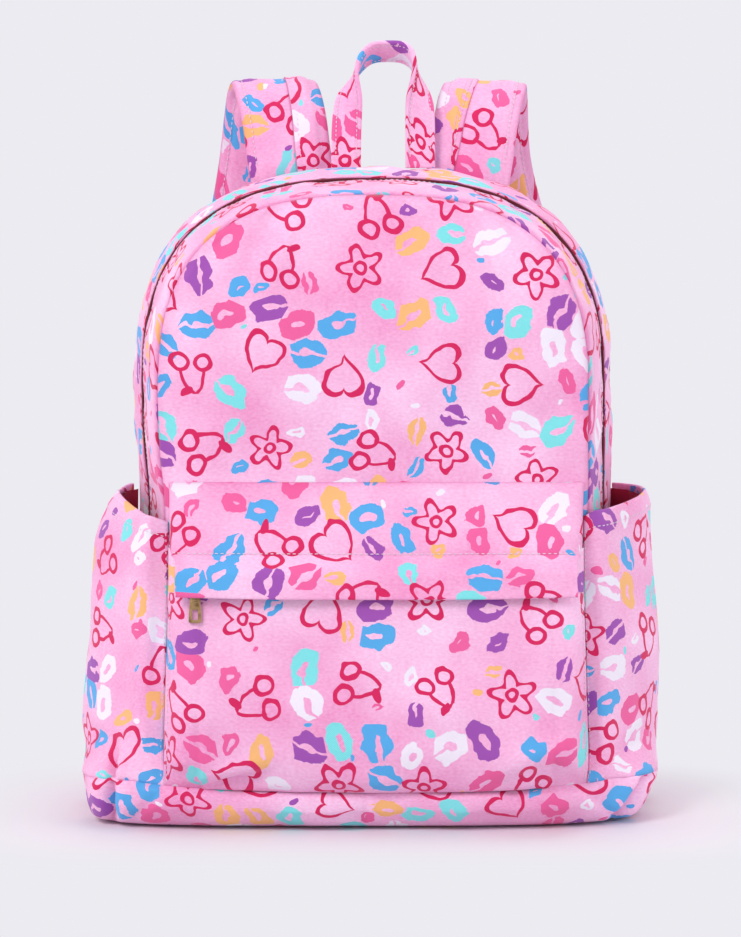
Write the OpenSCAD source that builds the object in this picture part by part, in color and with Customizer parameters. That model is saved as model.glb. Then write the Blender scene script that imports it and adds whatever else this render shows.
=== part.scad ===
// School backpack, modelled empty and standing on its base.
// Millimetres, +Z up, the front faces -Y, the wearer's back is on the +Y side.
// The origin is on the floor, under the middle of the main compartment.

/* [Body] */
// Height of the main compartment at the back panel
body_h = 430; // [360:1:480]
// Width of the main compartment at the back panel
body_w = 324; // [290:1:340]
// Distance from the front panel seam to the back panel seam
body_d = 138; // [125:1:160]
// How much narrower the front panel is on each side than the back panel
front_draft = 20; // [12:1:26]
// How much lower the front panel seam is than the back panel seam
front_drop = 14; // [8:1:24]
// Height of the arch above the straight sides, at the back panel
arch_h = 148; // [120:1:170]
// Squareness of the arch, 2 is an ellipse
arch_power = 2.65; // [2.2:0.05:3.2]
// How far the main sides flare out at the base
side_flare = 8; // [2:1:12]
// Forward crown of the front panel
front_crown = 9; // [4:1:16]
// Thickness of one layer of the outer fabric with its backing
fabric_t = 2; // [1.6:0.1:2.4]
// Thickness of one layer of lining
lining_t = 0.8; // [0.5:0.1:1]
// Clearance between neighbouring soft layers
soft_gap = 0.3; // [0.3:0.05:0.5]

/* [Base] */
// Height of the boxed base
base_h = 33; // [26:1:45]
// Half width of the base at its fullest
base_hw = 191; // [187:1:200]
// Thickness of the stiff base board
board_t = 2.4; // [1.5:0.1:4]

/* [Back panel] */
// Thickness of the foam in the back panel
back_foam_t = 8; // [5:0.5:12]

/* [Main zip] */
// Distance from the front panel seam to the middle of the main zip
zip_set = 58; // [52:1:64]
// Height at which both ends of the main zip stop
zip_end_z = 178; // [165:1:190]
// Width of the groove between the two zip flaps
zip_groove = 8; // [7:0.5:9]
// Travel of the main slider up the straight side
main_slider_travel = 80; // [40:1:84]

/* [Front lid] */
// Height of the fold line where the upper front swings down
lid_z = 229; // [222:1:240]

/* [Front pocket] */
// Width of the front pocket
pocket_w = 278; // [240:1:282]
// Sideways offset of the front pocket
pocket_cx = 2; // [-4:1:4]
// Bulge of the front pocket
pocket_bulge = 24; // [16:1:32]
// Height of the pocket zip's centre line
pocket_zip_z = 162; // [156:1:168]
// Height of the stitch line where the storm flap starts
flap_z = 179; // [175:1:186]
// Height of the storm flap from its stitch line to its free edge
flap_h = 23; // [20:1:30]
// Distance of the closed pocket slider from the pocket's side edge
pocket_slider_inset = 22; // [20:1:30]

/* [Side pockets] */
// Bulge of each side pocket at its fullest
side_bulge = 33; // [26:1:38]
// Height of the side pocket rim at the front seam
rim_front_z = 199; // [190:1:205]
// Height of the side pocket rim at the back seam
rim_back_z = 214; // [206:1:222]
// Height of the hem around the pocket rim
hem_h = 11; // [8:1:16]

/* [Shoulder straps] */
// Width of a padded shoulder strap
strap_w = 58; // [48:1:64]
// Thickness of a padded shoulder strap
strap_t = 11; // [8:0.5:13]
// Thickness of the strap's fabric cover
strap_cover_t = 1.6; // [1.2:0.1:2]
// Distance from the middle of the pair to the middle of a strap at its anchor
strap_x = 59; // [54:1:64]
// Sideways set of the straps and the haul loop on the back panel
top_shift = 5; // [-6:1:6]
// Width of the adjusting webbing
webbing_w = 25; // [20:1:30]
// Thickness of the adjusting webbing
webbing_t = 1.6; // [1.2:0.1:2]

/* [Haul loop] */
// Width of the haul loop's band
loop_w = 21; // [18:1:26]
// Thickness of the haul loop's band
loop_t = 3.2; // [2.4:0.2:4]
// Distance between the middles of the haul loop's feet
loop_spacing = 50; // [44:1:54]
// Height of the haul loop above the back panel
loop_rise = 87; // [60:1:95]

/* [Laptop sleeve] */
// Width of the laptop sleeve
sleeve_w = 262; // [220:1:280]
// Height of the laptop sleeve's edge
sleeve_h = 255; // [200:1:290]
// Clear depth inside the laptop sleeve
sleeve_d = 20; // [14:1:26]

/* [Hidden] */

$fn = 32;

// Depth stations of the main compartment
y_back = body_d / 2;
y_front = -body_d / 2;
zip_y = y_front + zip_set;
zip_front_reach = 18;
zip_rear_reach = 16;
zip_gusset_front_y = zip_y - zip_front_reach;
zip_gusset_rear_y = zip_y + zip_rear_reach;
arch_spring_z = body_h - arch_h;
flare_top_z = zip_end_z - 6;
arch_steps = 30;
side_steps = 3;

// Colours
pink = [0.96, 0.72, 0.87];
light_pink = [0.97, 0.79, 0.93];
deep_pink = [0.93, 0.52, 0.72];
crimson = [0.6, 0.11, 0.27];
dark_crimson = [0.4, 0.05, 0.18];
brass = [0.6, 0.52, 0.4];
foam_grey = [0.85, 0.85, 0.86];
board_grey = [0.3, 0.3, 0.32];
white = [0.94, 0.92, 0.95];

// ---------- curves of the main compartment ----------

// Half width of the compartment at depth y
function half_w(y) = let(s = (y_back - y) / body_d) body_w / 2 - front_draft * pow(s, 1.7);

// Height of the compartment's crest at depth y
function crest(y) = let(s = (y_back - y) / body_d) body_h - front_drop * pow(s, 1.7);

// Extra half width towards the base
function flare(z) = z < flare_top_z ? side_flare * pow(1 - z / flare_top_z, 2) : 0;

// A station of the arch is [signed width share, height on the straight side, rise share].
function side_stations(side, z0, z1, steps) =
    [for (i = [0:steps]) [side, z0 + (z1 - z0) * i / steps, 0]];

function arc_stations() =
    [for (i = [1:arch_steps - 1]) let(a = 180 - 180 * i / arch_steps, c = cos(a), s = sin(a))
        [sign(c) * pow(abs(c), 2 / arch_power), 0, pow(s, 2 / arch_power)]];

function full_stations(z0) = concat(
    side_stations(-1, z0, arch_spring_z, side_steps),
    arc_stations(),
    side_stations(1, arch_spring_z, z0, side_steps));

// A point of the arch at a station, at depth y, moved inwards by inset
function arch_point(st, inset, y) =
    let(z = st[2] == 0 ? st[1] : arch_spring_z + st[2] * (crest(y) - inset - arch_spring_z))
    [st[0] * (half_w(y) - inset + flare(z)), y, z];

// Half width of the front panel at height z
function front_half_w(z) =
    let(top = crest(y_front), h = top - arch_spring_z)
    z <= arch_spring_z ? half_w(y_front) + flare(z)
        : half_w(y_front) * pow(max(0, 1 - pow((z - arch_spring_z) / h, arch_power)), 1 / arch_power);

// Crown of the front panel at a point
function crown(x, z) =
    let(w = max(front_half_w(z), 1), across = max(0, 1 - pow(x / w, 2)),
        top = crest(y_front), mid = (lid_z + top) / 2,
        up = z < lid_z ? 0.5 * pow(max(0, (z - base_h) / (lid_z - base_h)), 0.7)
            : z < mid ? 0.5 + 0.5 * sin(90 * (z - lid_z) / (mid - lid_z))
            : pow(max(0, 1 - pow((z - mid) / (top - mid), 2)), 0.7))
    front_crown * up * across;

// Side of the main compartment at depth y and height z
function side_x(y, z) = half_w(y) + flare(z);

// ---------- solids from rings and sheets ----------

// Solid through closed rings of points, capped at both ends as fans round each ring's first point
module loft(rings) {
    n = len(rings);
    m = len(rings[0]);
    sides = [for (i = [0:n - 2], j = [0:m - 1], k = [0, 1])
        let(a = i * m + j, b = i * m + (j + 1) % m)
        k == 0 ? [a, a + m, b] : [b, a + m, b + m]];
    caps = [for (j = [1:m - 2], k = [0, 1])
        k == 0 ? [0, j, j + 1] : [(n - 1) * m, (n - 1) * m + j + 1, (n - 1) * m + j]];
    polyhedron([for (r = rings, p = r) p], concat(sides, caps));
}

// Open tube between outer and inner closed rings
module tube(outer, inner) {
    n = len(outer);
    m = len(outer[0]);
    o = n * m;
    walls = [for (i = [0:n - 2], j = [0:m - 1], k = [0:3])
        let(a = i * m + j, b = i * m + (j + 1) % m)
        k == 0 ? [a, a + m, b] : k == 1 ? [b, a + m, b + m]
            : k == 2 ? [o + a, o + b, o + a + m] : [o + b, o + b + m, o + a + m]];
    rims = [for (j = [0:m - 1], k = [0:3])
        let(a = j, b = (j + 1) % m, e = (n - 1) * m)
        k == 0 ? [a, b, o + a] : k == 1 ? [b, o + b, o + a]
            : k == 2 ? [e + a, o + e + a, e + b] : [e + b, o + e + a, o + e + b]];
    polyhedron([for (g = [outer, inner], r = g, p = r) p], concat(walls, rims));
}

// Cup from outer and inner closed rings: joined at the first ring, floored at the last
module cup(outer, inner) {
    n = len(outer);
    m = len(outer[0]);
    o = n * m;
    walls = [for (i = [0:n - 2], j = [0:m - 1], k = [0:3])
        let(a = i * m + j, b = i * m + (j + 1) % m)
        k == 0 ? [a, b, a + m] : k == 1 ? [b, b + m, a + m]
            : k == 2 ? [o + a, o + a + m, o + b] : [o + b, o + a + m, o + b + m]];
    rim = [for (j = [0:m - 1], k = [0, 1]) let(a = j, b = (j + 1) % m)
        k == 0 ? [a, o + a, b] : [b, o + a, o + b]];
    floors = [for (j = [1:m - 2], k = [0, 1]) let(e = (n - 1) * m)
        k == 0 ? [e, e + j, e + j + 1] : [o + e, o + e + j + 1, o + e + j]];
    polyhedron([for (g = [outer, inner], r = g, p = r) p], concat(walls, rim, floors));
}

// Solid sheet between two grids of points, front grid seen from outside with rows going up
module sheet(front, back) {
    n = len(front);
    m = len(front[0]);
    o = n * m;
    faces = [for (i = [0:n - 2], j = [0:m - 2], k = [0:3])
        let(a = i * m + j)
        k == 0 ? [a, a + m, a + 1] : k == 1 ? [a + 1, a + m, a + m + 1]
            : k == 2 ? [o + a, o + a + 1, o + a + m] : [o + a + 1, o + a + m + 1, o + a + m]];
    ends = [for (j = [0:m - 2], k = [0:3]) let(e = (n - 1) * m + j)
        k == 0 ? [j, j + 1, o + j] : k == 1 ? [j + 1, o + j + 1, o + j]
            : k == 2 ? [e, o + e, e + 1] : [e + 1, o + e, o + e + 1]];
    edges = [for (i = [0:n - 2], k = [0:3]) let(a = i * m, b = i * m + m - 1)
        k == 0 ? [a, o + a, a + m] : k == 1 ? [o + a, o + a + m, a + m]
            : k == 2 ? [b, b + m, o + b] : [o + b, b + m, o + b + m]];
    polyhedron([for (g = [front, back], r = g, p = r) p], concat(faces, ends, edges));
}

function loop_area(s) = let(n = len(s))
    [for (i = [0:n - 1]) s[i][0] * s[(i + 1) % n][1] - s[(i + 1) % n][0] * s[i][1]] * [for (i = [1:n]) 0.5];

// The same loop, turned the other way if need be, with its first point kept first
function wound(s) = loop_area(s) > 0 ? s : [for (i = [0:len(s) - 1]) s[(len(s) - i) % len(s)]];

// Section of [inset, y] points carried along arch stations; its reflex corner comes first
module arch_sweep(stations, section) {
    loft([for (st = stations) [for (q = wound(section)) arch_point(st, q[0], q[1])]]);
}

// Flat section between two depths and two insets
function strip(inset0, inset1, y0, y1) = [[inset0, y0], [inset0, y1], [inset1, y1], [inset1, y0]];

// Arch-shaped plate from depth y0 to y1, inset from the compartment's outline at depth y
module arch_plate(y0, y1, inset, y, z0) {
    translate([0, y1, 0]) rotate([90, 0, 0]) linear_extrude(y1 - y0)
        polygon([for (st = full_stations(z0)) let(p = arch_point(st, inset, y)) [p[0], p[2]]]);
}

// ---------- back panel ----------

back_cover_t = 2.4;
back_lining_y = y_back - back_foam_t - soft_gap;
back_inset = fabric_t + soft_gap + 0.6;

module back_cover() {
    color(light_pink) arch_plate(y_back, y_back + back_cover_t, 0, y_back, base_h + soft_gap);
}

module back_foam() {
    color(foam_grey)
        arch_plate(y_back - back_foam_t, y_back, back_inset, y_back, base_h + soft_gap);
}

module back_lining() {
    color(crimson) arch_plate(back_lining_y - lining_t, back_lining_y, back_inset, y_back,
        base_h + soft_gap);
}

// ---------- gussets and main zip ----------

// Outline of the zip chain: the chain lies this far in from the compartment's surface
zip_sink = 5.6;
chain_t = 2.2;
chain_half = 2.6;
chain_gap = 1.2;
tape_t = 0.7;
flap_t = 1.6;
web_t = 1.6;
tab_h = 9;
lid_gap = 0.2;
zip_x = half_w(zip_y) - zip_sink;

// Inset that puts a point at depth y on the zip chain's own surface, moved out by d
function chain_inset(y, d) = half_w(y) - zip_x - d;

// Points along a wall at one inset, from depth y0 to y1
function wall(inset, y0, y1, n) = [for (i = [0:n]) [inset, y0 + (y1 - y0) * i / n]];

// L-shaped section of a gusset: a wall, and a web that reaches in to the zip tape
function gusset_section(zip_edge_y, seam_y, n) =
    let(web_y = zip_edge_y + sign(seam_y - zip_edge_y) * web_t, web_in = chain_inset(zip_edge_y, -2))
    concat([[fabric_t, web_y], [web_in, web_y], [web_in, zip_edge_y]],
        wall(0, zip_edge_y, seam_y, n),
        [for (i = [0:n - 1]) [fabric_t, seam_y + (web_y - seam_y) * i / n]]);

function gusset_wall_section() = gusset_section(zip_gusset_rear_y, y_back, 4);
function front_gusset_section() = gusset_section(zip_gusset_front_y, y_front, 2);

module rear_gusset() {
    color(pink) arch_sweep(full_stations(zip_end_z), gusset_wall_section());
}

module rear_zip_flap() {
    color(deep_pink) arch_sweep(full_stations(zip_end_z),
        strip(flap_t, 0, zip_y + zip_groove / 2, zip_gusset_rear_y));
}

module rear_seam_binding() {
    binding_w = 9;
    color(dark_crimson) arch_sweep(full_stations(base_h + soft_gap + 4),
        strip(back_inset + 1.4, back_inset, back_lining_y - lining_t - binding_w,
            back_lining_y - lining_t));
}

module front_gusset_lower() {
    for (side = [-1, 1])
        color(pink) arch_sweep(lower_zip_stations(side), front_gusset_section());
}

module front_zip_flap_lower() {
    for (side = [-1, 1])
        color(deep_pink) arch_sweep(lower_zip_stations(side),
            strip(flap_t, 0, zip_gusset_front_y, zip_y - zip_groove / 2));
}

module main_zip_tape_rear() {
    color(crimson) arch_sweep(full_stations(zip_end_z + tab_h), tape_section(1));
}

module main_zip_coil_rear() {
    color(dark_crimson) arch_sweep(full_stations(zip_end_z + tab_h), chain_section(1));
}

module main_zip_tape_front_lower() {
    for (side = [-1, 1])
        color(crimson) arch_sweep(lower_tape_stations(side), tape_section(-1));
}

module main_zip_coil_front_lower() {
    for (side = [-1, 1])
        color(dark_crimson) arch_sweep(lower_tape_stations(side), chain_section(-1));
}

// Stations of one straight side between two heights, ordered so that solids face outwards
function ordered_side(side, z0, z1) =
    side < 0 ? side_stations(side, z0, z1, 1) : side_stations(side, z1, z0, 1);
function lower_zip_stations(side) = ordered_side(side, zip_end_z, lid_z - lid_gap);
function lower_tape_stations(side) = ordered_side(side, zip_end_z + tab_h, lid_z - lid_gap);

// Half of the zip: dir 1 is the rear half, dir -1 the front half
function chain_section(dir) =
    let(y0 = zip_y + dir * chain_gap / 2, y1 = zip_y + dir * chain_half,
        ya = min(y0, y1), yb = max(y0, y1))
    [[chain_inset(ya, -chain_t / 2), ya], [chain_inset(ya, chain_t / 2), ya],
     [chain_inset(yb, chain_t / 2), yb], [chain_inset(yb, -chain_t / 2), yb]];

function tape_section(dir) =
    let(y0 = zip_y + dir * chain_half, y1 = dir > 0 ? zip_gusset_rear_y : zip_gusset_front_y,
        ya = min(y0, y1), yb = max(y0, y1))
    [[chain_inset(ya, -tape_t / 2), ya], [chain_inset(ya, tape_t / 2), ya],
     [chain_inset(yb, tape_t / 2), yb], [chain_inset(yb, -tape_t / 2), yb]];

// Fabric tabs that close both ends of the main zip
module main_zip_end_tabs() {
    for (side = [-1, 1])
        color(crimson) arch_sweep(ordered_side(side, zip_end_z, zip_end_z + tab_h - soft_gap),
            [[chain_inset(zip_gusset_front_y, -2), zip_gusset_front_y],
             [chain_inset(zip_gusset_front_y, 0.6), zip_gusset_front_y],
             [chain_inset(zip_gusset_rear_y, 0.6), zip_gusset_rear_y],
             [chain_inset(zip_gusset_rear_y, -2), zip_gusset_rear_y]]);
}

// Side of the body below the zip's ends, from the front panel to the back panel
module lower_side_panel(side) {
    z0 = base_h + soft_gap;
    z1 = zip_end_z;
    ys = [for (i = [0:7]) y_front + body_d * i / 7];
    rows = [for (i = [0:5]) z0 + (z1 - z0) * i / 5];
    outer = [for (z = rows) [for (y = ys) [side * side_x(y, z), y, z]]];
    inner = [for (z = rows) [for (y = ys) [side * (side_x(y, z) - fabric_t), y, z]]];
    color(pink) if (side > 0) sheet(outer, inner); else sheet(inner, outer);
}

module lower_side_panel_left() { lower_side_panel(-1); }
module lower_side_panel_right() { lower_side_panel(1); }

// ---------- front panels ----------

panel_cols = 14;
function spread(n) = [for (i = [0:n]) -cos(180 * i / n)];
function front_row(z, off) =
    [for (u = spread(panel_cols)) let(x = u * front_half_w(z)) [x, y_front - off - crown(x, z), z]];

module front_panel(z0, z1, steps, gather) {
    rows = [for (i = [0:steps]) let(t = i / steps) z0 + (z1 - z0) * (gather ? 1 - pow(1 - t, 2) : t)];
    color(light_pink) sheet([for (z = rows) front_row(z, fabric_t)], [for (z = rows) front_row(z, 0)]);
}

module front_panel_lower() {
    front_panel(base_h + soft_gap, lid_z - lid_gap, 6, false);
}

module front_panel_upper() {
    front_panel(lid_z + lid_gap, crest(y_front) - 0.3, 14, true);
}

module front_gusset_upper() {
    color(pink) arch_sweep(full_stations(lid_z + lid_gap), front_gusset_section());
}

module front_zip_flap_upper() {
    color(deep_pink) arch_sweep(full_stations(lid_z + lid_gap),
        strip(flap_t, 0, zip_gusset_front_y, zip_y - zip_groove / 2));
}

module main_zip_tape_front_upper() {
    color(crimson) arch_sweep(full_stations(lid_z + lid_gap), tape_section(-1));
}

module main_zip_coil_front_upper() {
    color(dark_crimson) arch_sweep(full_stations(lid_z + lid_gap), chain_section(-1));
}

// Lining inside the upper front: a skin behind the front gusset
module lid_lining() {
    color(crimson) arch_sweep(full_stations(lid_z + lid_gap + 1),
        strip(fabric_t + soft_gap + lining_t, fabric_t + soft_gap, y_front + soft_gap,
            zip_gusset_front_y - web_t - soft_gap));
}

// ---------- base ----------

base_steps = 48;
base_cy = -7;
base_hy = y_back + 10.8;
base_power = 4.6;

// Closed ring of the base: half width hx, half depth hy, squareness n
function base_ring(hx, hy, z, n) =
    [for (i = [0:base_steps - 1]) let(a = 360 * i / base_steps, c = cos(a), s = sin(a))
        [hx * sign(c) * pow(abs(c), 2 / n), base_cy + hy * sign(s) * pow(abs(s), 2 / n), z]];

// The wall's outline runs from the lip's inner edge, out, down the wall and under the floor.
base_lip_hw = 132;
base_lip_hy = y_back - 9;
base_floor_hw = base_hw - 19;

module base_tub() {
    t = fabric_t;
    outer = [
        base_ring(base_lip_hw, base_lip_hy, base_h, 8),
        base_ring(base_hw - 2, base_hy, base_h, base_power),
        base_ring(base_hw - 3, base_hy + 0.6, base_h * 0.7, base_power),
        base_ring(base_hw - 6.5, base_hy + 0.2, base_h * 0.4, base_power),
        base_ring(base_hw - 12, base_hy - 2.5, base_h * 0.15, base_power),
        base_ring(base_floor_hw, base_hy - 8, 0, base_power)
    ];
    inner = [
        base_ring(base_lip_hw, base_lip_hy, base_h - t, 8),
        base_ring(base_hw - 2 - t, base_hy - t, base_h - t, base_power),
        base_ring(base_hw - 3 - t, base_hy + 0.6 - t, base_h * 0.7, base_power),
        base_ring(base_hw - 6.5 - t, base_hy + 0.2 - t, base_h * 0.4, base_power),
        base_ring(base_hw - 13 - t, base_hy - 3 - t, base_h * 0.15 + t * 0.4, base_power),
        base_ring(base_floor_hw - t, base_hy - 8 - t, t, base_power)
    ];
    color(pink) cup(outer, inner);
}

// Stiff board that lies on the floor of the base
module base_board() {
    board_hw = base_floor_hw - 7;
    board_hy = base_hy - 17;
    color(board_grey) translate([0, base_cy, fabric_t]) linear_extrude(board_t)
        polygon([for (p = base_ring(board_hw, board_hy, 0, 6)) [p[0], p[1] - base_cy]]);
}

// ---------- laptop sleeve ----------

sleeve_panel_t = 4;
sleeve_z0 = 60;
sleeve_back_y = back_lining_y - lining_t;

module laptop_sleeve() {
    color(crimson) difference() {
        translate([-sleeve_w / 2, sleeve_back_y - sleeve_d - sleeve_panel_t, sleeve_z0])
            cube([sleeve_w, sleeve_d + sleeve_panel_t, sleeve_h - sleeve_z0]);
        translate([-sleeve_w / 2 + sleeve_panel_t, sleeve_back_y - sleeve_d, sleeve_z0 + sleeve_panel_t])
            cube([sleeve_w - 2 * sleeve_panel_t, sleeve_d + 1, sleeve_h]);
    }
}

// Binding folded over the sleeve's top edge
module sleeve_binding() {
    t = 0.9;
    h = 12;
    y0 = sleeve_back_y - sleeve_d - sleeve_panel_t;
    color(dark_crimson) difference() {
        translate([-sleeve_w / 2 + sleeve_panel_t + soft_gap, y0 - t, sleeve_h - h])
            cube([sleeve_w - 2 * (sleeve_panel_t + soft_gap), sleeve_panel_t + 2 * t, h + t]);
        translate([-sleeve_w / 2, y0, sleeve_h - h - 1])
            cube([sleeve_w, sleeve_panel_t, h + 1]);
    }
}

// ---------- front pocket ----------

pocket_edge = 0.86;
pocket_seat = 8;
pocket_bottom_z = base_h + 3;
pocket_turn = 28;
pocket_low_z = base_h + pocket_turn;
pocket_skin = 1.8;

// Share of the pocket's full depth at sideways position u, from -1 to 1
function pocket_side(u) =
    let(e = max(0, (abs(u) - pocket_edge) / (1 - pocket_edge))) pow(max(0, 1 - pow(e, 2.4)), 0.6);

// Depth of the pocket at height z
function pocket_depth(z) =
    z > pocket_low_z ? pocket_bulge * sin(90 * (lid_z - z) / (lid_z - pocket_low_z))
        : pocket_bulge * pow(max(0, 1 - pow((pocket_low_z - z) / (pocket_low_z - base_h), 2)), 0.5);

// Distance of the pocket's outer surface in front of the front seam plane: it follows the front
// panel's crown at its top seam and becomes flat across before it reaches the zip
function pocket_out(x, z) =
    let(u = (x - pocket_cx) / (pocket_w / 2), k = pow(sin(90 * max(0, min(1, (lid_z - z) / 45))), 2))
    fabric_t + soft_gap + pocket_skin + crown(x, z) * (1 - k * pocket_side(u))
        + (pocket_seat * k + pocket_depth(z)) * pocket_side(u);

pocket_cols = [for (i = [0:18]) let(t = -1 + i / 9) sign(t) * (1 - pow(1 - abs(t), 1.35))];

function pocket_row(z, off, reach) =
    [for (u = pocket_cols) let(x = pocket_cx + reach * u * pocket_w / 2)
        [x, y_front - pocket_out(x, z) + off, z]];

// Sheet of the pocket between two heights, off is measured inwards from the outer surface
module pocket_sheet(z0, z1, steps, off0, off1, reach) {
    rows = [for (i = [0:steps]) z0 + (z1 - z0) * i / steps];
    sheet([for (z = rows) pocket_row(z, off0, reach)], [for (z = rows) pocket_row(z, off1, reach)]);
}

pocket_face_top = pocket_zip_z - 6;

module pocket_face() {
    color(light_pink) pocket_sheet(pocket_bottom_z, pocket_face_top, 10, 0, pocket_skin, 1);
}

module pocket_top_band() {
    color(light_pink) pocket_sheet(flap_z, lid_z - 1, 5, 0, pocket_skin, 1);
}

// Zip of the pocket: the chain lies in one plane under the storm flap
pocket_zip_x0 = pocket_cx - pocket_w / 2 * pocket_edge;
pocket_zip_x1 = pocket_cx + pocket_w / 2 * pocket_edge;
pocket_zip_y = y_front - pocket_out(pocket_cx, pocket_zip_z) + pocket_skin + 0.45;
pocket_tape_seam = 7;
tape_reach = pocket_edge - 0.01;
tape_set = 0.4;

module pocket_zip_tape_upper() {
    color(crimson) pocket_sheet(pocket_zip_z + chain_half, flap_z + pocket_tape_seam, 5,
        pocket_skin + tape_set, pocket_skin + tape_set + tape_t, tape_reach);
}

module pocket_zip_tape_lower() {
    color(crimson) pocket_sheet(pocket_face_top - pocket_tape_seam, pocket_zip_z - chain_half, 3,
        pocket_skin + tape_set, pocket_skin + tape_set + tape_t, tape_reach);
}

// Half of the pocket's zip chain: dir 1 above the slider's web, dir -1 below it
module pocket_zip_coil(dir) {
    z0 = pocket_zip_z + (dir > 0 ? chain_gap / 2 : -chain_half);
    color(dark_crimson) translate([pocket_zip_x0, pocket_zip_y - chain_t / 2, z0])
        cube([pocket_zip_x1 - pocket_zip_x0, chain_t, chain_half - chain_gap / 2]);
}

module pocket_zip_coil_upper() { pocket_zip_coil(1); }
module pocket_zip_coil_lower() { pocket_zip_coil(-1); }

// Zip slider lying in the XY plane, travelling along X, its outer face towards +Z
slider_len = 11;
slider_w = 10;
plate_t = 1;
tunnel = 3.2;
post_r = 1.2;
post_h = 3;
tab_t = 1.4;
bar_t = 1.2;

module slider_plate() {
    polygon([[-slider_len / 2, -slider_w * 0.3], [-slider_len * 0.2, -slider_w / 2],
        [slider_len * 0.35, -slider_w / 2], [slider_len / 2, -slider_w * 0.32],
        [slider_len / 2, slider_w * 0.32], [slider_len * 0.35, slider_w / 2],
        [-slider_len * 0.2, slider_w / 2], [-slider_len / 2, slider_w * 0.3]]);
}

module slider() {
    web = chain_gap - 0.5;
    outer = tunnel / 2 + plate_t;
    for (z = [-outer, tunnel / 2])
        translate([0, 0, z]) linear_extrude(plate_t) slider_plate();
    translate([slider_len / 2 - 4.4, -web / 2, -outer]) cube([4, web, 2 * outer]);
    translate([0, 0, outer - 0.2]) cylinder(h = post_h + 0.3, r = post_r);
    translate([-slider_len * 0.32, -1.5, outer + post_h]) cube([slider_len * 0.64, 3, bar_t]);
}

// Pull tab hanging along -Y from its pivot, in the XY plane
tab_len = 24;
tab_top_w = 6.6;
tab_low_w = 8.4;
eye_top = post_r + 0.6;
eye_low = 4.6;
tab_rim = 1.3;
tab_window = [3.8, 6.6];
tab_pivot = eye_top + tab_rim / 2;
tab_clear = 0.9;

module pull_tab() {
    linear_extrude(tab_t) difference() {
        polygon([[-tab_top_w / 2, eye_top + tab_rim], [tab_top_w / 2, eye_top + tab_rim],
            [tab_top_w / 2, -6.4],
            [tab_low_w / 2, 1.6 - tab_len], [tab_low_w / 2 - 1, 0.6 - tab_len],
            [-tab_low_w / 2 + 1, 0.6 - tab_len], [-tab_low_w / 2, 1.6 - tab_len], [-tab_top_w / 2, -6.4]]);
        translate([-2.2, -eye_low]) square([4.4, eye_top + eye_low]);
        translate([-tab_window[0] / 2, 0.6 - tab_len + 2]) square(tab_window);
    }
}

slider_outer = tunnel / 2 + plate_t;
pocket_slider_x = pocket_cx - pocket_w / 2 + pocket_slider_inset;
pull_tilt = 9.5;

module pocket_slider() {
    color(brass) translate([pocket_slider_x, pocket_zip_y, pocket_zip_z]) rotate([90, 0, 0]) slider();
}

module pocket_puller() {
    color(brass) translate([pocket_slider_x, pocket_zip_y - slider_outer - tab_clear, pocket_zip_z])
        rotate([90 - pull_tilt, 0, 0]) pull_tab();
}

main_slider_z = zip_end_z + tab_h + slider_len / 2 + 1;
main_pull_tilt = 15;

module main_slider() {
    color(brass) translate([zip_x, zip_y, main_slider_z]) rotate([0, 90, 0]) rotate([0, 0, 180]) slider();
}

module main_puller() {
    color(brass) translate([zip_x + slider_outer + tab_clear, zip_y, main_slider_z + tab_pivot])
        rotate([90, 0, 90]) rotate([-main_pull_tilt, 0, 0]) translate([0, -tab_pivot, 0]) pull_tab();
}

// Storm flap over the pocket zip; it stands off the pocket so that the pull tab hangs behind it
flap_reach = 0.94;
flap_stand = 7.6;
function flap_off(z) = -flap_stand * pow(min(1, (flap_z - z) / 12), 0.6);
function flap_row(z, t) = [for (i = [0:12]) let(u = -1 + i / 6)
    [pocket_cx + u * flap_reach * pocket_w / 2, y_front - pocket_out(pocket_cx, z) + flap_off(z) + t, z]];

module pocket_flap() {
    rows = [for (i = [0:7]) flap_z - lid_gap - flap_h + flap_h * i / 7];
    color(light_pink) sheet([for (z = rows) flap_row(z, 0)], [for (z = rows) flap_row(z, pocket_skin)]);
}

// ---------- side pockets ----------

side_front_y = y_front + 1.5;
side_back_y = y_back - 8;
side_z0 = base_h + soft_gap;
side_rows = 9;
side_cols = 14;
pocket_layer = 1.8;

// Bulge of a side pocket at height z: fullest low down, closing in to the base's edge
function side_swell(z) =
    let(t = (z - base_h) / (rim_back_z - base_h),
        low = base_hw - 2 - side_x(0, base_h) - pocket_layer - lining_t - soft_gap)
    low + (side_bulge - low) * sin(90 * min(1, t * 4)) - 10 * max(0, t - 0.4);

function side_belly(u) = pow(max(0, sin(180 * u)), 0.55);
function rim_z(u) = rim_front_z + (rim_back_z - rim_front_z) * sin(90 * min(1, u * 2.2));

// Surface of a side pocket moved out by d; u runs from the front seam to the back seam
function side_pocket_point(side, u, z, d) =
    let(y = side_front_y + (side_back_y - side_front_y) * u)
    [side * (side_x(y, z) + soft_gap + side_swell(z) * side_belly(u) + d), y, z];

module side_sheet(side, low, high, d0, d1, rows) {
    function grid(d) = [for (i = [0:rows]) [for (j = [0:side_cols]) let(u = j / side_cols)
        side_pocket_point(side, u, low(u) + (high(u) - low(u)) * i / rows, d)]];
    if (side > 0) sheet(grid(d1), grid(d0)); else sheet(grid(d0), grid(d1));
}

module side_pocket(side) {
    color(light_pink) side_sheet(side, function (u) side_z0, function (u) rim_z(u),
        lining_t, lining_t + pocket_layer, side_rows);
}

module side_pocket_lining(side) {
    color(crimson) side_sheet(side, function (u) side_z0, function (u) rim_z(u) - 2, 0, lining_t - 0.1,
        side_rows);
}

// Folded hem sewn round the outside of the pocket's rim
module side_pocket_hem(side) {
    color(pink) side_sheet(side, function (u) rim_z(u) - hem_h, function (u) rim_z(u) + 0.2,
        lining_t + pocket_layer + 0.15, lining_t + pocket_layer + 1, 1);
}

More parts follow.
